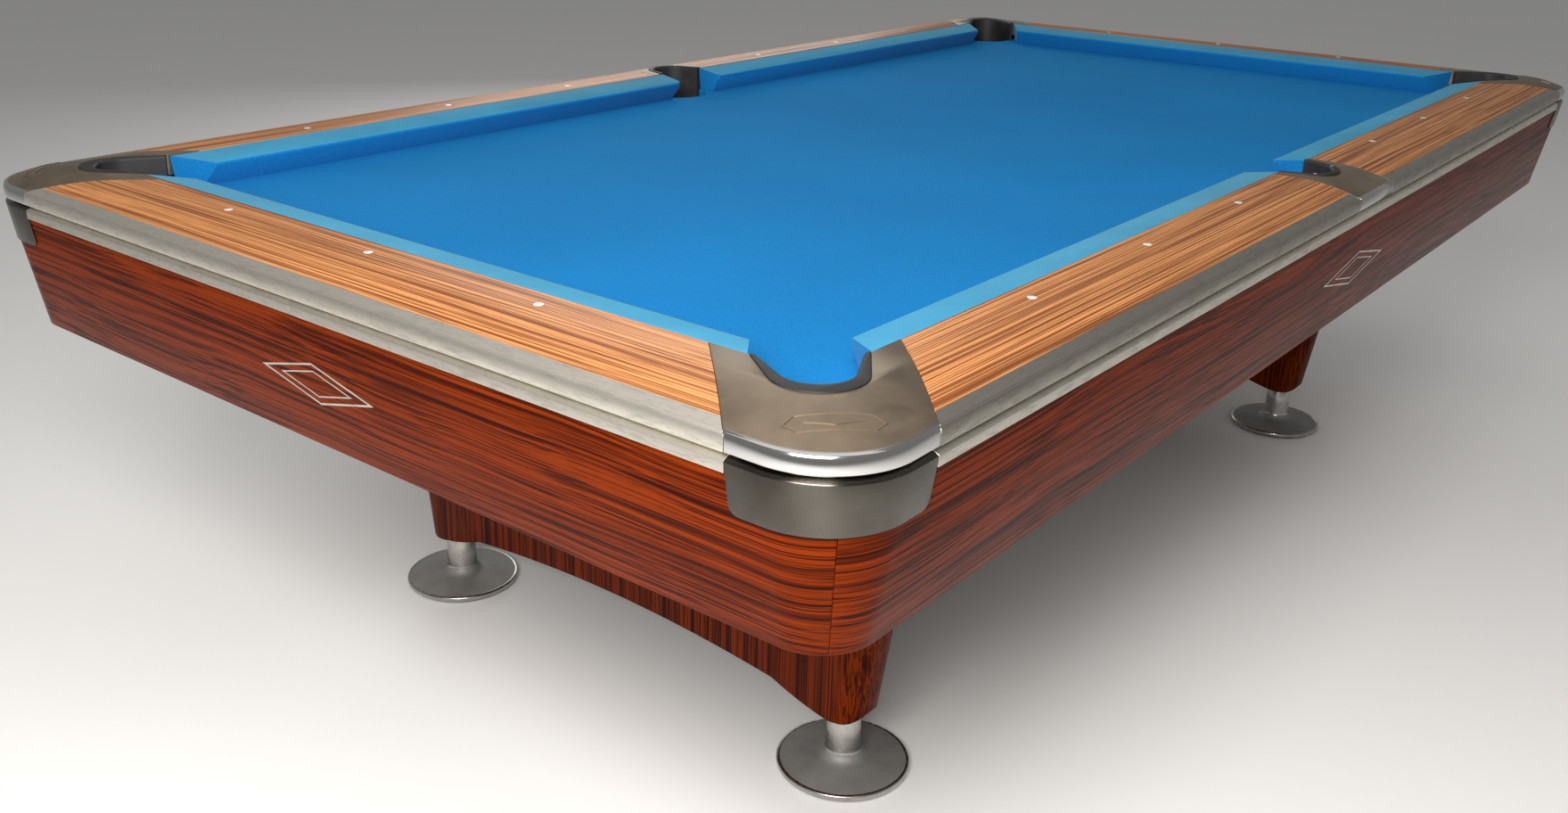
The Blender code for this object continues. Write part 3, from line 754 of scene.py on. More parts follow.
class TABLE_OT_stage(bpy.types.Operator):
    """Pale floor, soft lights and the camera"""

    bl_idname = "pool_table.stage"
    bl_label = "Stage"

    def execute(self, context):
        deselect_all()
        bpy.ops.mesh.primitive_plane_add(size=60, location=(0, 0, 0))
        floor = context.object
        floor.name = "studio_floor"
        f = Finish("studio_floor")
        f.set(Base_Color=(0.93, 0.93, 0.925, 1.0), Roughness=0.85, Specular_IOR_Level=0.1)
        floor.data.materials.append(f.material)

        for name, place, aim, size, power in (
            ("key_light", (-2.80, -1.30, 2.05), (-0.70, -0.20, 0.78), 1.3, studio().key_power),
            ("top_light", (-0.6, 0.2, 3.4), (-0.2, 0, 0.8), 3.0, studio().top_power),
            ("back_light", (2.9, 3.4, 2.4), (0.2, 0.0, 0.6), 2.4, studio().back_power),
        ):
            bpy.ops.object.light_add(type="AREA", location=place)
            light = context.object
            light.name = name
            light.data.size = size
            light.data.energy = power
            light.data.color = (1.0, 0.975, 0.94)
            light.rotation_euler = (Vector(aim) - Vector(place)).to_track_quat("-Z", "Y").to_euler()

        world = bpy.data.worlds.new("studio_world")
        world.use_nodes = True
        background = world.node_tree.nodes["Background"]
        background.inputs["Color"].default_value = (1.0, 0.99, 0.975, 1.0)
        background.inputs["Strength"].default_value = studio().sky
        context.scene.world = world
        context.scene.view_settings.view_transform = "Standard"

        bpy.ops.object.camera_add(location=(-2.4426, -1.5114, RAIL_TOP + 0.5247))
        camera = context.object
        camera.name = "camera"
        yaw, pitch, roll = (math.radians(a) for a in (38.464, -18.816, 1.219))
        look = Vector((math.cos(yaw) * math.cos(pitch), math.sin(yaw) * math.cos(pitch), math.sin(pitch)))
        facing = look.to_track_quat("-Z", "Y") @ Matrix.Rotation(roll, 3, "Z").to_quaternion()
        camera.rotation_euler = facing.to_euler()
        camera.data.sensor_width = 36.0
        camera.data.lens = 33.42
        camera.data.shift_x = 0.0103
        camera.data.shift_y = -0.0535
        camera.data.clip_start = 0.05
        context.scene.camera = camera
        return {"FINISHED"}


class TABLE_OT_rails(bpy.types.Operator):
    """Crowned wooden rails, mitred to the corner castings"""

    bl_idname = "pool_table.rails"
    bl_label = "Rails"

    def section(self):
        round_in = 0.0008
        top = [(WOOD_IN, RAIL_TOP - round_in), (WOOD_IN + round_in, RAIL_TOP)]
        top += crown_line(shape().crown_start, WOOD_OUT - 0.0004, 12)
        return [(WOOD_IN, RAIL_BOTTOM)] + top + [
            (WOOD_OUT, crown(WOOD_OUT) - 0.0004), (WOOD_OUT, RAIL_BOTTOM)
        ]

    def execute(self, context):
        wood = finish_for("rail", make_rail_laminate)
        long_rail = draw_face("rail_long", [(LONG_START, NOSE_Y + d, z) for d, z in self.section()])
        extrude((NOSE_X + 0.1 - LONG_START, 0, 0))
        saw((NOSE_X - MITRE, NOSE_Y, 0), (1, -1, 0))
        tidy_shell()
        soften_ends(long_rail, 0.0004)
        for i, (name, (sx, sy)) in enumerate(QUARTERS.items()):
            rail = copy_of(long_rail, "wood", sx, sy)
            write_grain(rail, grain_along(True, i))
            finish(rail, f"wooden_rail_{name}", wood, [f"rail_{name}"])
        remove(long_rail)

        short_rail = draw_face("rail_short", [(NOSE_X + d, -NOSE_Y - 0.1, z) for d, z in self.section()])
        extrude((0, 2 * NOSE_Y + 0.2, 0))
        for sy in (-1, 1):
            saw((NOSE_X, sy * (NOSE_Y - MITRE), 0), (-1, sy, 0))
        tidy_shell()
        soften_ends(short_rail, 0.0004)
        for name, sx in ENDS.items():
            rail = copy_of(short_rail, "wood", sx, 1)
            write_grain(rail, grain_along(False, 5 + sx))
            finish(rail, f"wooden_rail_{name}", wood, [f"rail_{name}"])
        remove(short_rail)
        return {"FINISHED"}


def soften_ends(obj, width, segments=1):
    """Bevels the rim of each sawn or square end of a bar."""
    edit(obj)

    def at_end(edge):
        faces = edge.link_faces
        ends = [f for f in faces if len(f.verts) > 6]
        return len(faces) == 2 and len(ends) == 1

    if select("edges", at_end):
        bevel(width, segments)
    bpy.ops.object.mode_set(mode="OBJECT")


class TABLE_OT_sights(bpy.types.Operator):
    """Round inlays that divide the field"""

    bl_idname = "pool_table.sights"
    bl_label = "Rail sights"

    def execute(self, context):
        shell = finish_for("sight", make_sight_shell)
        radius, back = shape().sight_radius, shape().sight_setback
        deselect_all()
        bpy.ops.mesh.primitive_cylinder_add(
            vertices=40, radius=radius, depth=0.0030, location=(0, 0, RAIL_TOP - 0.0012)
        )
        master = context.object
        bpy.ops.object.transform_apply(location=True)
        edit(master)
        select("faces", lambda f: f.normal.z > 0.9)
        bpy.ops.mesh.inset(thickness=0.0008)
        bpy.ops.transform.translate(value=(0, 0, 0.00012))
        bpy.ops.mesh.inset(thickness=0.0022)
        bpy.ops.transform.translate(value=(0, 0, 0.00010))
        bpy.ops.object.mode_set(mode="OBJECT")
        places = []
        for name, (sx, sy) in QUARTERS.items():
            places += [(name, i, sx * NOSE_X * i / 4, sy * (NOSE_Y + back)) for i in (1, 2, 3)]
        for name, sx in ENDS.items():
            places += [(name, i + 2, sx * (NOSE_X + back), NOSE_Y * i / 2) for i in (-1, 0, 1)]
        for name, number, x, y in places:
            sight = copy_of(master, "sight")
            sight.location = (x, y, 0)
            finish(sight, f"sight_{name}_{number}", shell, angle=30)
        remove(master)
        return {"FINISHED"}


class TABLE_OT_rail_edges(bpy.types.Operator):
    """Metal rail edges: a flat band, a step and a bullnose"""

    bl_idname = "pool_table.rail_edges"
    bl_label = "Rail edges"

    def section(self):
        flat = shape().flat_edge
        band = crown_line(EDGE_IN, flat - 0.0012, 4)
        step = [(flat - 0.0009, crown(flat) - 0.0004)]
        return [(EDGE_IN, EDGE_BOTTOM)] + band + step + bullnose_line()

    def execute(self, context):
        metal = finish_for("edge", make_edge_aluminium)
        # The long edges take a darker aluminium: painted shade, not wear.
        painted_shade = finish_for("edge_handled", make_painted_shade_aluminium)
        bar = draw_face("edge_long", [(LONG_START, NOSE_Y + d, z) for d, z in self.section()])
        extrude((NOSE_X + 0.1 - LONG_START, 0, 0))
        saw((NOSE_X - MITRE, NOSE_Y, 0), (1, -1, 0))
        tidy_shell()
        soften_ends(bar, 0.0005)
        for i, (name, (sx, sy)) in enumerate(QUARTERS.items()):
            piece = copy_of(bar, "edge", sx, sy)
            write_grain(piece, grain_along(True, i))
            finish(piece, f"metal_edge_{name}", painted_shade, [f"rail_trim_{name}"])
        remove(bar)
        bar = draw_face("edge_short", [(NOSE_X + d, -NOSE_Y - 0.1, z) for d, z in self.section()])
        extrude((0, 2 * NOSE_Y + 0.2, 0))
        for sy in (-1, 1):
            saw((NOSE_X, sy * (NOSE_Y - MITRE), 0), (-1, sy, 0))
        tidy_shell()
        soften_ends(bar, 0.0005)
        for name, sx in ENDS.items():
            piece = copy_of(bar, "edge", sx, 1)
            write_grain(piece, grain_along(False, 5 + sx))
            finish(piece, f"metal_edge_{name}", metal, [f"rail_trim_{name}"])
        remove(bar)
        return {"FINISHED"}


class TABLE_OT_cushions(bpy.types.Operator):
    """Rubber cushions in stretched wool, cut at an angle beside each pocket"""

    bl_idname = "pool_table.cushions"
    bl_label = "Cushions"

    def section(self):
        nose, radius, back = NOSE_HEIGHT + 0.0002, 0.0042, RAIL_TOP - 0.0006
        angles = [math.radians(a) for a in (213, 205, 196, 187, 178, 168, 156, 144, 132, 120, 109, 99)]
        rounded = [(radius + radius * math.cos(a), nose + radius * math.sin(a)) for a in angles]
        shoulder = [(CUSHION_BACK - 0.0016, back), (CUSHION_BACK - 0.0005, back - 0.0005)]
        sole = [
            (CUSHION_BACK, back - 0.0016), (CUSHION_BACK, RAIL_BOTTOM), (shape().cushion_foot, RAIL_BOTTOM)
        ]
        return rounded + shoulder + sole

    def cut(self, nose_point, back_point, drop):
        """Saws an end off between two points, leaning under; drop points at what goes."""
        run = Vector((*back_point, 0)) - Vector((*nose_point, 0))
        normal = Vector((run.y, -run.x, 0)).normalized()
        if normal.dot(Vector((*drop, 0))) < 0:
            normal.negate()
        saw((*nose_point, RAIL_TOP), normal - Vector((0, 0, 0.12)))
        towards = Vector((0, -1, 0)) if drop[0] else Vector((-1, 0, 0))
        radius, steps = shape().nose_corner, 6
        centre = Vector((*nose_point, 0)) - radius * (towards + normal) / (1 + towards.dot(normal))
        for i in range(1, steps):
            facing = towards.slerp(normal, i / steps)
            saw(centre + radius * facing + Vector((0, 0, RAIL_TOP)), facing)

    def finish_master(self, obj):
        tidy_shell()
        soften_ends(obj, 0.0022, 3)

    def execute(self, context):
        wool = finish_for("cushion", make_cushion_wool)
        back = NOSE_Y + CUSHION_BACK
        side_nose, side_back = low("cushion_back_right").x + 0.0025, low("cushion_back_right").x
        corner_back = NOSE_X - CORNER_BACK
        master = draw_face("cushion_long", [(side_back - 0.02, NOSE_Y + d, z) for d, z in self.section()])
        extrude((corner_back + 0.04 - side_back, 0, 0))
        self.cut((side_nose, NOSE_Y), (side_back, back), (-1, 0))
        self.cut((NOSE_X - shape().corner_mouth, NOSE_Y), (corner_back, back), (1, 0))
        self.finish_master(master)
        for name, (sx, sy) in QUARTERS.items():
            piece = copy_of(master, "wool", sx, sy)
            finish(piece, f"wool_cushion_{name}", wool, [f"cushion_{name}"], angle=40)
        remove(master)

        corner_back = NOSE_Y - CORNER_BACK
        master = draw_face("cushion_short", [(NOSE_X + d, -NOSE_Y - 0.02, z) for d, z in self.section()])
        extrude((0, 2 * NOSE_Y + 0.04, 0))
        for sy in (-1, 1):
            nose_point = (NOSE_X, sy * (NOSE_Y - shape().corner_mouth))
            self.cut(nose_point, (NOSE_X + CUSHION_BACK, sy * corner_back), (0, sy))
        self.finish_master(master)
        for name, sx in ENDS.items():
            piece = copy_of(master, "wool", sx, 1)
            finish(piece, f"wool_cushion_{name}", wool, [f"cushion_{name}"], angle=40)
        remove(master)
        return {"FINISHED"}


# Pockets: distances along a pocket's axis from the field's corner, or from the middle of the long nose

CORNER_POCKET = {
    "outer": {"centre": 0.0820, "radius": 0.0540, "mouth": (0.0226, 0.0651)},
    "inner": {"centre": 0.0700, "radius": 0.0410, "mouth": (0.0223, 0.0576)},
    "well": 0.0707,
}
SIDE_POCKET = {
    "outer": {"centre": 0.0810, "radius": 0.0570, "mouth": (0.0605, 0.0660)},
    "inner": {"centre": 0.0790, "radius": 0.0460, "mouth": (0.0550, 0.0570)},
    "well": 0.0710,
}


def pocket_point(corner, along, across):
    """From a pocket's own axes to the table's, for the right back corner or the back side pocket."""
    if not corner:
        return across, NOSE_Y + along
    half = math.sqrt(0.5)
    return NOSE_X + half * (along + across), NOSE_Y + half * (along - across)


def throat(corner, wall, grow=0.0, reach=None, steps=28):
    """A pocket's U: two jaws that run from the mouth into a round back."""
    form = (CORNER_POCKET if corner else SIDE_POCKET)[wall]
    radius, (mouth, half) = form["radius"] + grow, form["mouth"]
    half += grow
    offset = mouth - form["centre"]
    turn = math.atan2(half, offset) - math.acos(radius / math.hypot(offset, half))
    angles = [turn - 2 * turn * i / steps for i in range(steps + 1)]
    back = [(form["centre"] + radius * math.cos(a), radius * math.sin(a)) for a in angles]
    points = [(mouth, half)] + back + [(mouth, -half)]
    if reach is not None:
        points = [(reach, half)] + points + [(reach, -half)]
    return [pocket_point(corner, a, b) for a, b in points]


def ring(corner, radius, steps=56):
    form = CORNER_POCKET if corner else SIDE_POCKET
    turns = [math.tau * i / steps for i in range(steps)]
    return [pocket_point(corner, form["well"] + radius * math.cos(t), radius * math.sin(t)) for t in turns]


def distance_to(point, outline):
    """Distance in plan from a point to a line through the outline's points."""
    best = 1.0
    for (ax, ay), (bx, by) in zip(outline, outline[1:]):
        run = Vector((bx - ax, by - ay))
        part = max(0.0, min(1.0, Vector((point.x - ax, point.y - ay)).dot(run) / run.length_squared))
        best = min(best, math.hypot(point.x - ax - part * run.x, point.y - ay - part * run.y))
    return best


def round_opening(obj, outline, width, segments=3):
    """Rounds the top edge of a pocket's opening."""
    edit(obj)

    def on_rim(edge):
        if len(edge.link_faces) != 2 or distance_to(middle(edge), outline) > 0.0004:
            return False
        tilts = sorted(abs(f.normal.z) for f in edge.link_faces)
        return tilts[0] < 0.3 and tilts[1] > 0.7 and middle(edge).z > RAIL_TOP - 0.012

    if select("edges", on_rim):
        bevel(width, segments)
    bpy.ops.object.mode_set(mode="OBJECT")


def casting_section(start):
    """Section from a set-back outwards; the inner part of the top is flat."""
    under, flat = RAIL_TOP - shape().casting_depth, shape().flat_edge
    top = [(WOOD_IN, RAIL_TOP)] if start < shape().crown_start else []
    top += crown_line(shape().crown_start, flat, 14)
    outside = bullnose_line() + [(EDGE_IN, EDGE_BOTTOM), (EDGE_IN, under)]
    return [(start, under)] + top + outside


def lozenge(corner, along, half_long, half_wide):
    points = [(along, half_long), (along + half_wide, 0.0), (along, -half_long), (along - half_wide, 0.0)]
    return [pocket_point(corner, a, b) for a, b in points]


def plate_outline(corner, along, half_long, half_wide):
    """A bar with pointed ends."""
    point = half_wide * 0.9
    pairs = [
        (along, half_long),
        (along + half_wide, half_long - point),
        (along + half_wide, point - half_long),
        (along, -half_long),
        (along - half_wide, point - half_long),
        (along - half_wide, half_long - point),
    ]
    return [pocket_point(corner, a, b) for a, b in pairs]


def raise_badge(casting, outline, proud, hollow=None):
    """Raises a shape that follows the casting's top; a second outline leaves it hollow."""
    badge = prism("badge", outline, RAIL_TOP - 0.020, RAIL_TOP + 0.010)
    if hollow:
        boolean(badge, prism("hollow", hollow, RAIL_TOP - 0.030, RAIL_TOP + 0.020))
    lifted = copy_of(casting, "lifted")
    lifted.location.z = proud
    bpy.ops.object.transform_apply(location=True)
    boolean(badge, lifted, "INTERSECT")
    boolean(casting, badge, "UNION")


class TABLE_OT_castings(bpy.types.Operator):
    """Metal castings at the corners and side pockets"""

    bl_idname = "pool_table.castings"
    bl_label = "Castings"

    def corner(self):
        turn, steps = shape().crown_start, shape().corner_steps
        under = RAIL_TOP - shape().casting_depth
        centre = (NOSE_X + turn, NOSE_Y + turn)
        start_x, start_y = NOSE_X - MITRE, NOSE_Y - MITRE
        outer = draw_face("casting_corner", [(NOSE_X + d, start_y, z) for d, z in casting_section(turn)])
        extrude((0, centre[1] - start_y, 0))
        bpy.ops.mesh.spin(steps=steps, angle=-math.pi / 2, center=(*centre, 0), axis=(0, 0, 1), dupli=False)
        extrude((start_x - centre[0], 0, 0))
        bpy.ops.object.mode_set(mode="OBJECT")
        outline = [
            (NOSE_X + WOOD_IN, start_y),
            (centre[0], start_y),
            centre,
            (start_x, centre[1]),
            (start_x, NOSE_Y + WOOD_IN),
            (NOSE_X + WOOD_IN, NOSE_Y + WOOD_IN),
        ]
        plate = prism("casting_plate", outline, under, RAIL_TOP)
        activate(outer)
        plate.select_set(True)
        bpy.ops.object.join()
        edit(outer)

        def inside(face):
            on_x = all(abs(v.co.x - centre[0]) < 1e-5 for v in face.verts)
            on_y = all(abs(v.co.y - centre[1]) < 1e-5 for v in face.verts)
            return on_x or on_y

        select("faces", inside)
        bpy.ops.mesh.delete(type="FACE")
        bpy.ops.mesh.select_all(action="SELECT")
        bpy.ops.mesh.remove_doubles(threshold=1e-6)
        seam = 2 * GAP
        saw((NOSE_X, start_y + seam, 0), (1, -1, 0))
        saw((start_x + seam, NOSE_Y, 0), (-1, 1, 0))
        tidy_shell()
        soften_ends(outer, 0.0007, 2)
        boolean(outer, prism("opening", throat(True, "outer", reach=-0.1), RAIL_TOP - 0.1, RAIL_TOP + 0.05))
        round_opening(outer, throat(True, "outer"), 0.0013)
        frame_line = plate_outline(True, 0.193, 0.052, 0.0145)
        raise_badge(outer, frame_line, 0.0008, plate_outline(True, 0.193, 0.0492, 0.0124))
        raise_badge(outer, lozenge(True, 0.193, 0.030, 0.0075), 0.0007)
        return outer

    def side(self):
        bar = draw_face("casting_side", [(-SIDE_HALF, NOSE_Y + d, z) for d, z in casting_section(WOOD_IN)])
        extrude((2 * SIDE_HALF, 0, 0))
        tidy_shell()
        soften_ends(bar, 0.0007, 2)
        boolean(bar, prism("opening", throat(False, "outer", reach=-0.1), RAIL_TOP - 0.1, RAIL_TOP + 0.05))
        round_opening(bar, throat(False, "outer"), 0.0013)
        return bar

    def execute(self, context):
        metal = finish_for("nickel", make_cast_nickel)
        master = self.corner()
        for i, (name, (sx, sy)) in enumerate(QUARTERS.items()):
            side, end = name.split("_")
            piece = copy_of(master, "metal", sx, sy)
            write_grain(piece, grain_along(True, 0))
            finish(piece, f"corner_casting_{name}", metal, [f"casting_{end}_{side}"])
        remove(master)
        master = self.side()
        for side, sy in SIDES.items():
            piece = copy_of(master, "metal", 1, sy)
            write_grain(piece, grain_along(True, 0))
            finish(piece, f"side_casting_{side}", metal, [f"casting_centre_{side}"])
        remove(master)
        return {"FINISHED"}


class TABLE_OT_skirts(bpy.types.Operator):
    """Brushed plates round the corners and the metal strips between them"""

    bl_idname = "pool_table.skirts"
    bl_label = "Skirts and lower strips"

    def strip_top(self):
        """From the hidden back edge over the slanted top to the arris."""
        arris = RAIL_TOP - shape().arris_drop
        return [
            (shape().strip_back, STRIP_TOP),
            (0.1955, STRIP_TOP),
            (0.1965, STRIP_TOP - 0.0003),
            (STRIP_OUT - 0.0009, arris + 0.0004),
            (STRIP_OUT - 0.0002, arris - 0.0003),
            (STRIP_OUT, arris - 0.0014),
        ]

    def strip(self, along_x, half):
        section = self.strip_top() + [(STRIP_OUT - 0.0005, STRIP_BOTTOM), (shape().strip_back, STRIP_BOTTOM)]
        if along_x:
            bar = draw_face("strip", [(-half, NOSE_Y + d, z) for d, z in section])
            extrude((2 * half, 0, 0))
        else:
            bar = draw_face("strip", [(NOSE_X + d, -half, z) for d, z in section])
            extrude((0, 2 * half, 0))
        tidy_shell()
        soften_ends(bar, 0.0003)
        return bar

    def skirt(self):
        turn, bottom = shape().crown_start, SKIRT_BOTTOM
        inner = cabinet_face(bottom) + 0.0005
        section = self.strip_top() + [
            (inner + shape().skirt_thickness, bottom),
            (inner, bottom),
            (cabinet_face(STRIP_BOTTOM) + 0.0005, STRIP_BOTTOM),
            (shape().strip_back, STRIP_BOTTOM),
        ]
        start_x, start_y = NOSE_X + SKIRT_END, NOSE_Y + SKIRT_END
        plate = draw_face("skirt", [(NOSE_X + d, start_y, z) for d, z in section])
        extrude((0, turn - SKIRT_END, 0))
        centre = (NOSE_X + turn, NOSE_Y + turn, 0)
        bpy.ops.mesh.spin(
            steps=shape().corner_steps, angle=-math.pi / 2, center=centre, axis=(0, 0, 1), dupli=False
        )
        extrude((SKIRT_END - turn, 0, 0))
        tidy_shell()
        edit(plate)

        def low_corner(edge):
            point = middle(edge)
            at_end = abs(point.y - start_y) < 1e-4 or abs(point.x - start_x) < 1e-4
            return at_end and all(abs(v.co.z - bottom) < 1e-4 for v in edge.verts)

        select("edges", low_corner)
        bevel(shape().skirt_corner, 8)

        def outer_rim(edge):
            if len(edge.link_faces) != 2:
                return False
            one, two = edge.link_faces
            return one.normal.angle(two.normal, 0.0) > 1.2 and middle(edge).z < STRIP_TOP - 0.008

        select("edges", outer_rim)
        bevel(0.0005, 2)
        bpy.ops.object.mode_set(mode="OBJECT")
        return plate

    def execute(self, context):
        brushed = finish_for("brushed", make_brushed_nickel)
        metal = finish_for("edge", make_edge_aluminium)
        master = self.skirt()
        for i, (name, (sx, sy)) in enumerate(QUARTERS.items()):
            side, end = name.split("_")
            piece = copy_of(master, "plate", sx, sy)
            write_grain(piece, grain_along(True, i))
            finish(piece, f"corner_skirt_{name}", brushed, [f"skirt_{end}_{side}"])
        remove(master)
        for along_x, half, places in (
            (True, high("lower_trim_back").x, SIDES),
            (False, STRIP_END, ENDS),
        ):
            master = self.strip(along_x, half)
            for name, sign in places.items():
                piece = copy_of(master, "strip", 1 if along_x else sign, sign if along_x else 1)
                write_grain(piece, grain_along(along_x, 2 + sign))
                finish(piece, f"lower_strip_{name}", metal, [f"lower_trim_{name}"])
            remove(master)
        return {"FINISHED"}


class TABLE_OT_cabinet(bpy.types.Operator):
    """Leaning cabinet panels that meet in the middle of each round corner"""

    bl_idname = "pool_table.cabinet"
    bl_label = "Cabinet"

    def panel(self, along_x):
        turn = shape().crown_start
        thick = shape().panel_thickness
        section = [
            (cabinet_face(CABINET_TOP) - thick, CABINET_TOP),
            (cabinet_face(CABINET_TOP), CABINET_TOP),
            (cabinet_face(CABINET_BOTTOM), CABINET_BOTTOM),
            (cabinet_face(CABINET_BOTTOM) - thick, CABINET_BOTTOM),
        ]
        near, far = (NOSE_X + turn, NOSE_Y) if along_x else (NOSE_Y + turn, NOSE_X)
        if along_x:
            board = draw_face("panel", [(-near, far + d, z) for d, z in section])
            extrude((2 * near, 0, 0))
        else:
            board = draw_face("panel", [(far + d, -near, z) for d, z in section])
            extrude((0, 2 * near, 0))
        eighth = math.radians(45 - 0.12)
        steps = shape().corner_steps // 2
        for sign in (1, -1):
            select(
                "faces", lambda f: all(abs(v.co[0 if along_x else 1] - sign * near) < 1e-5 for v in f.verts)
            )
            centre = (sign * near, far + turn, 0) if along_x else (far + turn, sign * near, 0)
            angle = eighth * (sign if along_x else -sign)
            bpy.ops.mesh.spin(steps=steps, angle=angle, center=centre, axis=(0, 0, 1), dupli=False)
        tidy_shell()
        edit(board)

        def rim(edge):
            if len(edge.link_faces) != 2:
                return False
            return edge.link_faces[0].normal.angle(edge.link_faces[1].normal, 0.0) > 1.2

        select("edges", rim)
        bevel(0.0009, 2)
        bpy.ops.object.mode_set(mode="OBJECT")
        return board

    def inlay(self, along_x, half_long):
        """Two thin metal diamonds, one within the other, let into the middle of a panel."""
        height, tall = shape().inlay_height, shape().inlay_half_height

        def on_face(run, z, proud):
            reach = cabinet_face(z) + proud
            return (run, NOSE_Y + reach, z) if along_x else (NOSE_X + reach, run, z)

        outward = Vector(on_face(0, height, 0.0007)) - Vector(on_face(0, height, -0.0004))
        pieces = []
        for scale, line in ((1.0, 0.0028), (0.64, 0.0020)):
            corners = [(half_long * scale, 0), (0, tall * scale), (-half_long * scale, 0), (0, -tall * scale)]
            face = draw_face("inlay", [on_face(run, height + rise, -0.0004) for run, rise in corners])
            bpy.ops.mesh.inset(thickness=line)
            bpy.ops.mesh.delete(type="FACE")
            bpy.ops.mesh.select_all(action="SELECT")
            extrude(tuple(outward))
            tidy_shell()
            pieces.append(face)
        activate(pieces[0])
        pieces[1].select_set(True)
        bpy.ops.object.join()
        return pieces[0]

    def execute(self, context):
        wood = finish_for("cabinet", make_cabinet_laminate)
        metal = finish_for("edge", make_edge_aluminium)
        for along_x, places, half in ((True, SIDES, 0.150), (False, ENDS, 0.118)):
            board, mark = self.panel(along_x), self.inlay(along_x, half)
            for name, sign in places.items():
                mirror = (1, sign) if along_x else (sign, 1)
                piece = copy_of(board, "board", *mirror)
                write_grain(piece, grain_along(along_x, (3 if along_x else 6) + sign))
                finish(piece, f"cabinet_panel_{name}", wood, [f"apron_{name}"])
                piece = copy_of(mark, "mark", *mirror)
                write_grain(piece, grain_along(along_x, 0))
                finish(piece, f"panel_inlay_{name}", metal)
            remove(board)
            remove(mark)
        return {"FINISHED"}


class TABLE_OT_brackets(bpy.types.Operator):
    """Steel braces across the inside corners of the cabinet"""

    bl_idname = "pool_table.brackets"
    bl_label = "Corner brackets"

    def execute(self, context):
        steel = finish_for("steel", make_steel)
        height, tall, thick = 0.655, 0.050, 0.003
        inner = cabinet_face(height) - shape().panel_thickness - 0.0012
        reach, tab = 0.050, 0.030
        path = [(inner, reach - tab), (inner, reach), (reach, inner), (reach - tab, inner)]
        back = [
            (inner - thick, reach - tab), (inner - thick, reach - 0.0012), (reach - 0.0012, inner - thick)
        ]
        back += [(reach - tab, inner - thick)]
        outline = [(NOSE_X + x, NOSE_Y + y) for x, y in path + back[::-1]]
        strap = prism("bracket", outline, height - tall / 2, height + tall / 2)
        edit(strap)
        select("edges", lambda e: abs(e.verts[0].co.z - e.verts[1].co.z) > tall / 2)
        bevel(0.0008, 2)
        bpy.ops.object.mode_set(mode="OBJECT")
        heads = [strap]
        screws = (
            (inner - thick, reach - tab / 2, (0, math.pi / 2, 0)),
            (reach - tab / 2, inner - thick, (math.pi / 2, 0, 0)),
        )
        for x, y, turn in screws:
            for rise in (-0.012, 0.012):
                deselect_all()
                place = (NOSE_X + x, NOSE_Y + y, height + rise)
                bpy.ops.mesh.primitive_cylinder_add(
                    vertices=24, radius=0.0042, depth=0.0050, location=place, rotation=turn
                )
                head = bpy.context.object
                edit(head)
                bpy.ops.mesh.select_all(action="SELECT")
                bevel(0.0009, 2)
                bpy.ops.object.mode_set(mode="OBJECT")
                heads.append(head)
        activate(strap)
        for head in heads:
            head.select_set(True)
        bpy.ops.object.join()
        for name, (sx, sy) in QUARTERS.items():
            finish(copy_of(strap, "brace", sx, sy), f"corner_bracket_{name}", steel)
        remove(strap)
        return {"FINISHED"}


class TABLE_OT_pockets(bpy.types.Operator):
    """Rubber pocket liners over ball cups"""

    bl_idname = "pool_table.pockets"
    bl_label = "Pockets"

    def liner(self, corner):
        seat, well = shape().cup_rim, shape().well_radius
        wall = prism("liner", throat(corner, "outer", -GAP), seat + 0.0005, LINER_TOP)
        collar = prism("collar", ring(corner, 0.20), seat - 0.05, RAIL_BOTTOM)
        boolean(collar, prism("core", ring(corner, well - 3 * GAP), 0.5, 0.9))
        boolean(wall, collar)
        boolean(wall, prism("throat", throat(corner, "inner", reach=-0.12), seat - 0.01, LINER_TOP + 0.01))
        round_lip(wall, throat(corner, "inner"), 0.0042, 5)
        round_lip(wall, throat(corner, "outer", -GAP), 0.0014, 3)
        return wall

    def cup(self, corner):
        """A thin bucket with a rolled rim and a rounded floor."""
        well, rim, wall = shape().well_radius - GAP, shape().cup_rim, 0.006
        x, y = pocket_point(corner, (CORNER_POCKET if corner else SIDE_POCKET)["well"], 0.0)
        floor, curve = CUP_BOTTOM, 0.018
        outside = [
            (well - curve + curve * math.sin(a), floor + curve - curve * math.cos(a)) for a in arc(0, 90, 6)
        ]
        inside = [
            (well - curve + (curve - wall) * math.sin(a), floor + curve - (curve - wall) * math.cos(a))
            for a in arc(90, 0, 6)
        ]
        lip = [
            (well - wall / 2 + wall / 2 * math.cos(a), rim - wall / 2 + wall / 2 * math.sin(a))
            for a in arc(0, 180, 6)
        ]
        return lathe("cup", [(0, floor)] + outside + lip + inside + [(0, floor + wall)], x, y, 56)

    def execute(self, context):
        rubber = finish_for("rubber", make_pocket_rubber)
        corner_liner, corner_cup = self.liner(True), self.cup(True)
        side_liner, side_cup = self.liner(False), self.cup(False)
        for end, sx in (("left", -1), ("centre", 0), ("right", 1)):
            for side, sy in SIDES.items():
                for kind, master in (
                    ("liner", corner_liner if sx else side_liner), ("cup", corner_cup if sx else side_cup)
                ):
                    piece = copy_of(master, kind, sx or 1, sy)
                    finish(
                        piece,
                        f"pocket_{kind}_{end}_{side}",
                        rubber,
                        [f"pocket_{end}_{side}"],
                    )
        for master in (corner_liner, corner_cup, side_liner, side_cup):
            remove(master)
        return {"FINISHED"}


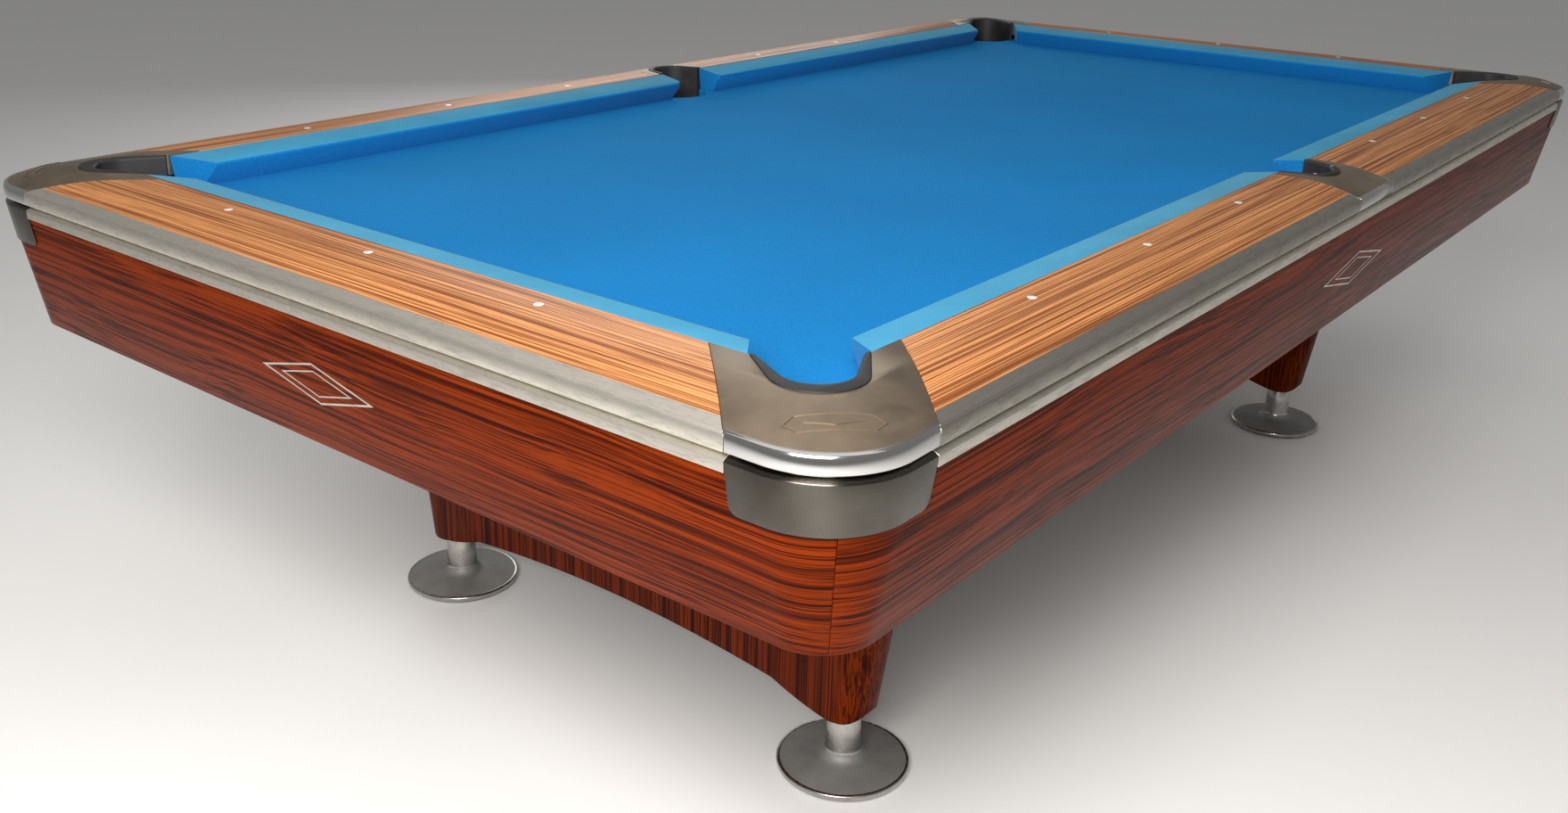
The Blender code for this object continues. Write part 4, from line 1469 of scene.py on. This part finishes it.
def arc(start, end, steps):
    return [math.radians(start + (end - start) * i / steps) for i in range(steps + 1)]


def round_lip(obj, outline, width, segments):
    """Rounds the top edges of a liner that lie on an outline."""
    edit(obj)

    def on_rim(edge):
        level = all(v.co.z > LINER_TOP - 1e-4 for v in edge.verts)
        return level and distance_to(middle(edge), outline) < 0.0004 and len(edge.link_faces) == 2

    if select("edges", on_rim):
        bevel(width, segments)
    bpy.ops.object.mode_set(mode="OBJECT")


def lathe(name, profile, x, y, steps):
    """A closed turned shape; the profile runs from the axis back to the axis."""
    obj = draw_face(name, [(x + r, y, z) for r, z in profile])
    bpy.ops.mesh.delete(type="ONLY_FACE")
    bpy.ops.mesh.select_all(action="SELECT")
    bpy.ops.mesh.spin(steps=steps, angle=math.tau, center=(x, y, 0), axis=(0, 0, 1), dupli=False)
    tidy_shell()
    return obj


class TABLE_OT_bed(bpy.types.Operator):
    """Stretched wool that folds down into each pocket, over three slates"""

    bl_idname = "pool_table.bed"
    bl_label = "Bed cloth and slates"

    def wells(self):
        """Centre and outward direction of each pocket's well."""
        for sx in (-1, 0, 1):
            for sy in (-1, 1):
                x, y = pocket_point(sx != 0, (CORNER_POCKET if sx else SIDE_POCKET)["well"], 0.0)
                out = Vector((sx, sy, 0)).normalized()
                yield Vector((sx * x if sx else 0.0, sy * y, 0)), out

    def well_cutter(self, centre, out, radius, bottom, top):
        """A half-round hole that runs out past the edge."""
        across = Vector((out.y, -out.x, 0))
        points = [centre + radius * (out * math.cos(a) + across * math.sin(a)) for a in arc(90, 270, 28)]
        points += [centre + 0.3 * out - radius * across, centre + 0.3 * out + radius * across]
        return prism("well", [(p.x, p.y) for p in points], bottom, top)

    def execute(self, context):
        thick, fold = shape().cloth_thickness, shape().cloth_fold
        surface = BED_TOP
        deselect_all()
        bpy.ops.mesh.primitive_cube_add(size=1, location=(0, 0, surface - 0.005))
        cloth = context.object
        edit(cloth)
        bpy.ops.transform.resize(
            value=(2 * CLOTH_X, 2 * CLOTH_Y, 0.010), center_override=(0, 0, surface - 0.005)
        )
        bpy.ops.object.mode_set(mode="OBJECT")
        radius = shape().well_radius + fold - thick - GAP
        for centre, out in self.wells():
            boolean(cloth, self.well_cutter(centre, out, radius, surface - 0.05, surface + 0.05))
        edit(cloth)
        select("faces", lambda f: f.normal.z < 0.9)
        bpy.ops.mesh.delete(type="FACE")
        for centre, out in self.wells():

            def on_arc(edge):
                point = middle(edge) - centre
                point.z = 0
                return edge.is_boundary and abs(point.length - radius) < 0.0006 and point.dot(out) < 0.0005

            if not select("edges", on_arc):
                raise RuntimeError("the cloth has no edge at a pocket")
            now = radius
            angles = arc(0, 90, 6)
            for before, after in zip(angles, angles[1:]):
                extrude((0, 0, fold * (math.cos(after) - math.cos(before))))
                then = radius - fold * math.sin(after)
                bpy.ops.transform.resize(value=(then / now, then / now, 1), center_override=tuple(centre))
                now = then
            bpy.ops.mesh.extrude_region_move(TRANSFORM_OT_translate={"value": (0, 0, -shape().cloth_drop)})
        bpy.ops.mesh.select_all(action="SELECT")
        bpy.ops.mesh.remove_doubles(threshold=1e-6)
        bpy.ops.object.mode_set(mode="OBJECT")
        solid = cloth.modifiers.new("Thickness", "SOLIDIFY")
        solid.thickness = thick
        solid.offset = -1
        bpy.ops.object.modifier_apply(modifier=solid.name)
        wool = finish_for("bed", make_bed_wool)
        finish(cloth, "stretched_bed_wool", wool, ["bed_cloth"], angle=50)

        stone = finish_for("slate", make_slate_stone)
        for name in ("left", "centre", "right"):
            slab = copy_of(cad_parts[f"slate_{name}"], "slab")
            edit(slab)
            bpy.ops.mesh.select_all(action="SELECT")
            bpy.ops.mesh.remove_doubles(threshold=1e-6)
            bpy.ops.mesh.dissolve_limited(angle_limit=0.02)

            def well_rim(edge):
                level = all(abs(v.co.z - SLATE_TOP) < 1e-5 for v in edge.verts)
                inside = any(
                    (middle(edge) - c).xy.length < shape().well_radius + 0.001 for c, _ in self.wells()
                )
                return level and inside

            select("edges", well_rim)
            bevel(fold - 0.0002, 5)
            bpy.ops.object.mode_set(mode="OBJECT")
            slab.data.materials.clear()
            finish(slab, f"stone_{name}", stone, [f"slate_{name}"])
        return {"FINISHED"}


class TABLE_OT_frame(bpy.types.Operator):
    """Timber beams and cross members with softened arrises"""

    bl_idname = "pool_table.timber"
    bl_label = "Timber frame"

    def execute(self, context):
        timber = finish_for("timber", make_frame_timber)
        for node in ("frame_beam_front", "frame_beam_back", "cross_member_left", "cross_member_right"):
            beam = copy_of(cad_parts[node], "beam")
            edit(beam)
            bpy.ops.mesh.select_all(action="SELECT")
            bpy.ops.mesh.remove_doubles(threshold=1e-6)
            bpy.ops.mesh.dissolve_limited(angle_limit=0.02)
            bpy.ops.mesh.select_all(action="SELECT")
            bevel(0.0025, 2)
            bpy.ops.object.mode_set(mode="OBJECT")
            beam.data.materials.clear()
            turned = node.startswith("cross")
            write_grain(beam, (lambda p: (p.y, p.x, p.z)) if turned else (lambda p: (p.x, p.y, p.z)))
            finish(beam, f"timber_{node}", timber, [node])
        return {"FINISHED"}


class TABLE_OT_pedestals(bpy.types.Operator):
    """Two slabs with round leaning ends and an arched underside"""

    bl_idname = "pool_table.pedestals"
    bl_label = "Pedestals"

    def edge(self, height):
        lean = shape().pedestal_lean
        return PEDESTAL_END - lean * (PEDESTAL_TOP - height)

    def side_view(self):
        corner, tip, top = 0.030, self.edge(PEDESTAL_LOW + 0.030) - 0.030, PEDESTAL_TOP + 0.01
        half = [(0.335 * i / 16, shape().arch_top - 0.183 * (0.335 * i / 16) ** 2) for i in range(17)]
        end, foot = half[-1], FOOT_Y
        for i in range(1, 9):
            t = i / 8
            bulge = (1 - t) * (end[1] - 0.1226 * (foot - end[0]) * t) + t * PEDESTAL_LOW
            half.append((end[0] + (foot - end[0]) * t, max(bulge, PEDESTAL_LOW)))
        half += [
            (
                tip + corner * math.cos(a), PEDESTAL_LOW + corner + corner * math.sin(a)
            ) for a in arc(-90, -9, 10)
        ]
        half.append((self.edge(top) + 0.01, top))
        return half + [(-y, z) for y, z in reversed(half[1:])]

    def execute(self, context):
        wood = finish_for("pedestal", make_pedestal_laminate)
        radius, low_z = PEDESTAL_RADIUS, PEDESTAL_LOW - 0.01
        reach = self.edge(low_z) - radius
        ends = [(reach, a) for a in arc(0, 180, 28)] + [(-reach, a) for a in arc(180, 360, 28)]
        outline = [(PEDESTAL_X + radius * math.cos(a), y + radius * math.sin(a)) for y, a in ends]
        slab = prism("pedestal", outline, low_z, PEDESTAL_TOP)
        edit(slab)
        for sign in (1, -1):
            select("verts", lambda v: v.co.z > PEDESTAL_TOP - 0.001 and v.co.y * sign > 0)
            bpy.ops.transform.translate(value=(0, sign * shape().pedestal_lean * (PEDESTAL_TOP - low_z), 0))
        bpy.ops.object.mode_set(mode="OBJECT")
        side = draw_face("side_view", [(PEDESTAL_X - 0.1, y, z) for y, z in self.side_view()])
        extrude((0.2, 0, 0))
        tidy_shell()
        boolean(slab, side, "INTERSECT")
        edit(slab)

        def under_edge(edge):
            if len(edge.link_faces) != 2 or middle(edge).z > 0.16:
                return False
            return edge.link_faces[0].normal.angle(edge.link_faces[1].normal, 0.0) > 0.7

        if select("edges", under_edge):
            bevel(0.0014, 2)
        bpy.ops.object.mode_set(mode="OBJECT")
        for sign in (1, -1):
            turns = [math.tau * i / 32 for i in range(32)]
            hole = [(PEDESTAL_X + 0.014 * math.cos(t), sign * FOOT_Y + 0.014 * math.sin(t)) for t in turns]
            boolean(slab, prism("stud_hole", hole, 0.05, 0.19))
        for name, sx in ENDS.items():
            piece = copy_of(slab, "slab", sx, 1)
            write_grain(piece, lambda p: (p.z + 3.1 * sx, p.y, p.x))
            finish(piece, f"arched_pedestal_{name}", wood, [f"pedestal_{name}"])
        remove(slab)
        return {"FINISHED"}


class TABLE_OT_feet(bpy.types.Operator):
    """Turned levelling feet on threaded studs, each on a glide pad"""

    bl_idname = "pool_table.feet"
    bl_label = "Feet"

    def foot(self):
        base, stem_top = PAD_TOP + GAP, PEDESTAL_LOW - 0.0006
        rim = FOOT_RADIUS
        profile = [(0, base), (rim - 0.0020, base), (rim - 0.0008, base + 0.0006), (rim, base + 0.0022)]
        profile += [(rim, 0.0110), (rim - 0.0006, 0.0124), (rim - 0.0020, 0.0133), (rim - 0.0048, 0.0135)]
        profile += [(rim - 0.0054, 0.0131), (0.0700, 0.0168), (0.0450, 0.0202)]
        profile += [(0.0445 - 0.0175 * math.sin(a), 0.0378 - 0.0175 * math.cos(a)) for a in arc(8, 88, 8)]
        profile += [(0.0262, 0.0600), (0.0246, stem_top - 0.0012), (0.0238, stem_top)]
        profile += [(0.0125, stem_top), (0.0112, stem_top + 0.0008)]
        turns = int((STUD_TOP - 0.004 - stem_top - 0.0008) / 0.0025)
        for i in range(turns):
            foot_z = stem_top + 0.0012 + 0.0025 * i
            profile += [
                (0.0112, foot_z),
                (0.0120, foot_z + 0.0010),
                (0.0120, foot_z + 0.0014),
                (0.0112, foot_z + 0.0024),
            ]
        profile += [(0.0108, STUD_TOP - 0.0015), (0.0095, STUD_TOP), (0, STUD_TOP)]
        return lathe("foot", profile, PEDESTAL_X, FOOT_Y, 72)

    def execute(self, context):
        cast, turned = finish_for("cast", make_foot_cast), finish_for("turned", make_foot_turned)
        foot = self.foot()
        foot.data.materials.append(cast)
        foot.data.materials.append(turned)
        edit(foot)

        def machined(face):
            point = middle(face)
            reach = math.hypot(point.x - PEDESTAL_X, point.y - FOOT_Y)
            return point.z > 0.030 or reach > FOOT_RADIUS - 0.0052

        select("faces", machined)
        foot.active_material_index = 1
        bpy.ops.object.material_slot_assign()
        bpy.ops.object.mode_set(mode="OBJECT")
        rubber = finish_for("pad", make_pad_felt)
        edge = PAD_RADIUS
        profile = [
            (0, 0),
            (edge - 0.0010, 0),
            (edge, 0.0008),
            (edge, PAD_TOP - 0.0010),
            (edge - 0.0010, PAD_TOP),
            (0, PAD_TOP),
        ]
        pad = lathe("pad", profile, PEDESTAL_X, FOOT_Y, 72)
        for name, (sx, sy) in QUARTERS.items():
            finish(
                copy_of(foot, "foot", sx, sy),
                f"levelling_foot_{name}",
                cast,
                [f"foot_{name}"],
                f"foot_{name}",
            )
            finish(
                copy_of(pad, "pad", sx, sy),
                f"floor_pad_{name}",
                rubber,
                [f"glide_pad_{name}"],
                f"pad_{name}",
            )
        remove(foot)
        remove(pad)
        return {"FINISHED"}


class TABLE_OT_fixings(bpy.types.Operator):
    """Rail bolts under the slates and the screws of the side liners"""

    bl_idname = "pool_table.fixings"
    bl_label = "Bolts and screws"

    def bolt(self):
        parts = []
        for sides, radius, bottom, top in (
            (40, 0.0160, SLATE_BOTTOM - 0.0028, SLATE_BOTTOM - GAP),
            (6, 0.0096, SLATE_BOTTOM - 0.0098, SLATE_BOTTOM - 0.0026),
        ):
            turns = [math.tau * i / sides for i in range(sides)]
            part = prism("bolt", [(radius * math.cos(t), radius * math.sin(t)) for t in turns], bottom, top)
            edit(part)
            select("edges", lambda e: all(abs(v.co.z - bottom) < 1e-5 for v in e.verts))
            bevel(0.0009, 2)
            bpy.ops.object.mode_set(mode="OBJECT")
            parts.append(part)
        activate(parts[0])
        parts[1].select_set(True)
        bpy.ops.object.join()
        return parts[0]

    def screw(self):
        """A small pan head with a cross recess."""
        top = LINER_TOP + 0.0011
        profile = [(0, top - 0.0060), (0.0018, top - 0.0060), (0.0018, top - 0.0016), (0.0035, top - 0.0016)]
        profile += [
            (0.0035 * math.cos(a), top - 0.0011 + 0.0011 * math.sin(a)) for a in arc(0, 80, 6)
        ] + [(0, top)]
        head = lathe("screw", profile, 0, 0, 32)
        for half_x, half_y in ((0.0021, 0.0004), (0.0004, 0.0021)):
            outline = [(-half_x, -half_y), (half_x, -half_y), (half_x, half_y), (-half_x, half_y)]
            boolean(head, prism("recess", outline, top - 0.0009, top + 0.001))
        return head

    def execute(self, context):
        steel = finish_for("steel", make_steel)
        bolt = self.bolt()
        back = shape().bolt_setback
        places = []
        for name, (sx, sy) in QUARTERS.items():
            places += [(f"{name}_{i}", sx * x, sy * (NOSE_Y + back)) for i, x in enumerate(BOLTS_LONG)]
        for name, sx in ENDS.items():
            places += [(f"{name}_{i}", sx * (NOSE_X + back), y) for i, y in enumerate(BOLTS_SHORT)]
        for name, x, y in places:
            piece = copy_of(bolt, "bolt")
            piece.location = (x, y, 0)
            finish(piece, f"rail_bolt_{name}", steel)
        remove(bolt)
        screw = self.screw()
        for side, sy in SIDES.items():
            for i, b in enumerate((-1, 1)):
                x, y = pocket_point(False, 0.080 + 0.0515 * 0.64, b * 0.0515 * 0.77)
                piece = copy_of(screw, "screw")
                piece.location = (x, sy * y, 0)
                finish(piece, f"liner_screw_{side}_{i}", steel)
        remove(screw)
        return {"FINISHED"}


class TABLE_PT_panel(bpy.types.Panel):
    """Lists the pieces of the table"""

    bl_idname = "TABLE_PT_panel"
    bl_label = "Pool Table"
    bl_space_type = "VIEW_3D"
    bl_region_type = "UI"
    bl_category = "Pool Table"

    def draw(self, context):
        for operator in OPERATORS:
            self.layout.operator(operator.bl_idname)
        for group in (shape(), colours(), studio()):
            box = self.layout.box()
            for name in group.bl_rna.properties.keys():
                if name not in {"rna_type", "name"}:
                    box.prop(group, name)


GROUPS = (ShapeSettings, ColourSettings, StudioSettings)
OPERATORS = (
    TABLE_OT_stage,
    TABLE_OT_rails,
    TABLE_OT_sights,
    TABLE_OT_rail_edges,
    TABLE_OT_castings,
    TABLE_OT_cushions,
    TABLE_OT_bed,
    TABLE_OT_pockets,
    TABLE_OT_skirts,
    TABLE_OT_cabinet,
    TABLE_OT_brackets,
    TABLE_OT_frame,
    TABLE_OT_pedestals,
    TABLE_OT_feet,
    TABLE_OT_fixings,
)


def register():
    for item in (*GROUPS, *OPERATORS, TABLE_PT_panel):
        bpy.utils.register_class(item)
    bpy.types.Scene.pool_table_shape = PointerProperty(type=ShapeSettings)
    bpy.types.Scene.pool_table_colours = PointerProperty(type=ColourSettings)
    bpy.types.Scene.pool_table_studio = PointerProperty(type=StudioSettings)


def unregister():
    del bpy.types.Scene.pool_table_shape
    del bpy.types.Scene.pool_table_colours
    del bpy.types.Scene.pool_table_studio
    for item in reversed((*GROUPS, *OPERATORS, TABLE_PT_panel)):
        bpy.utils.unregister_class(item)


def main():
    register()
    for operator in OPERATORS:
        group, name = operator.bl_idname.split(".")
        if getattr(getattr(bpy.ops, group), name)() != {"FINISHED"}:
            raise RuntimeError(f"{operator.bl_label} could not be made")
    deselect_all()


if __name__ == "__main__":
    main()
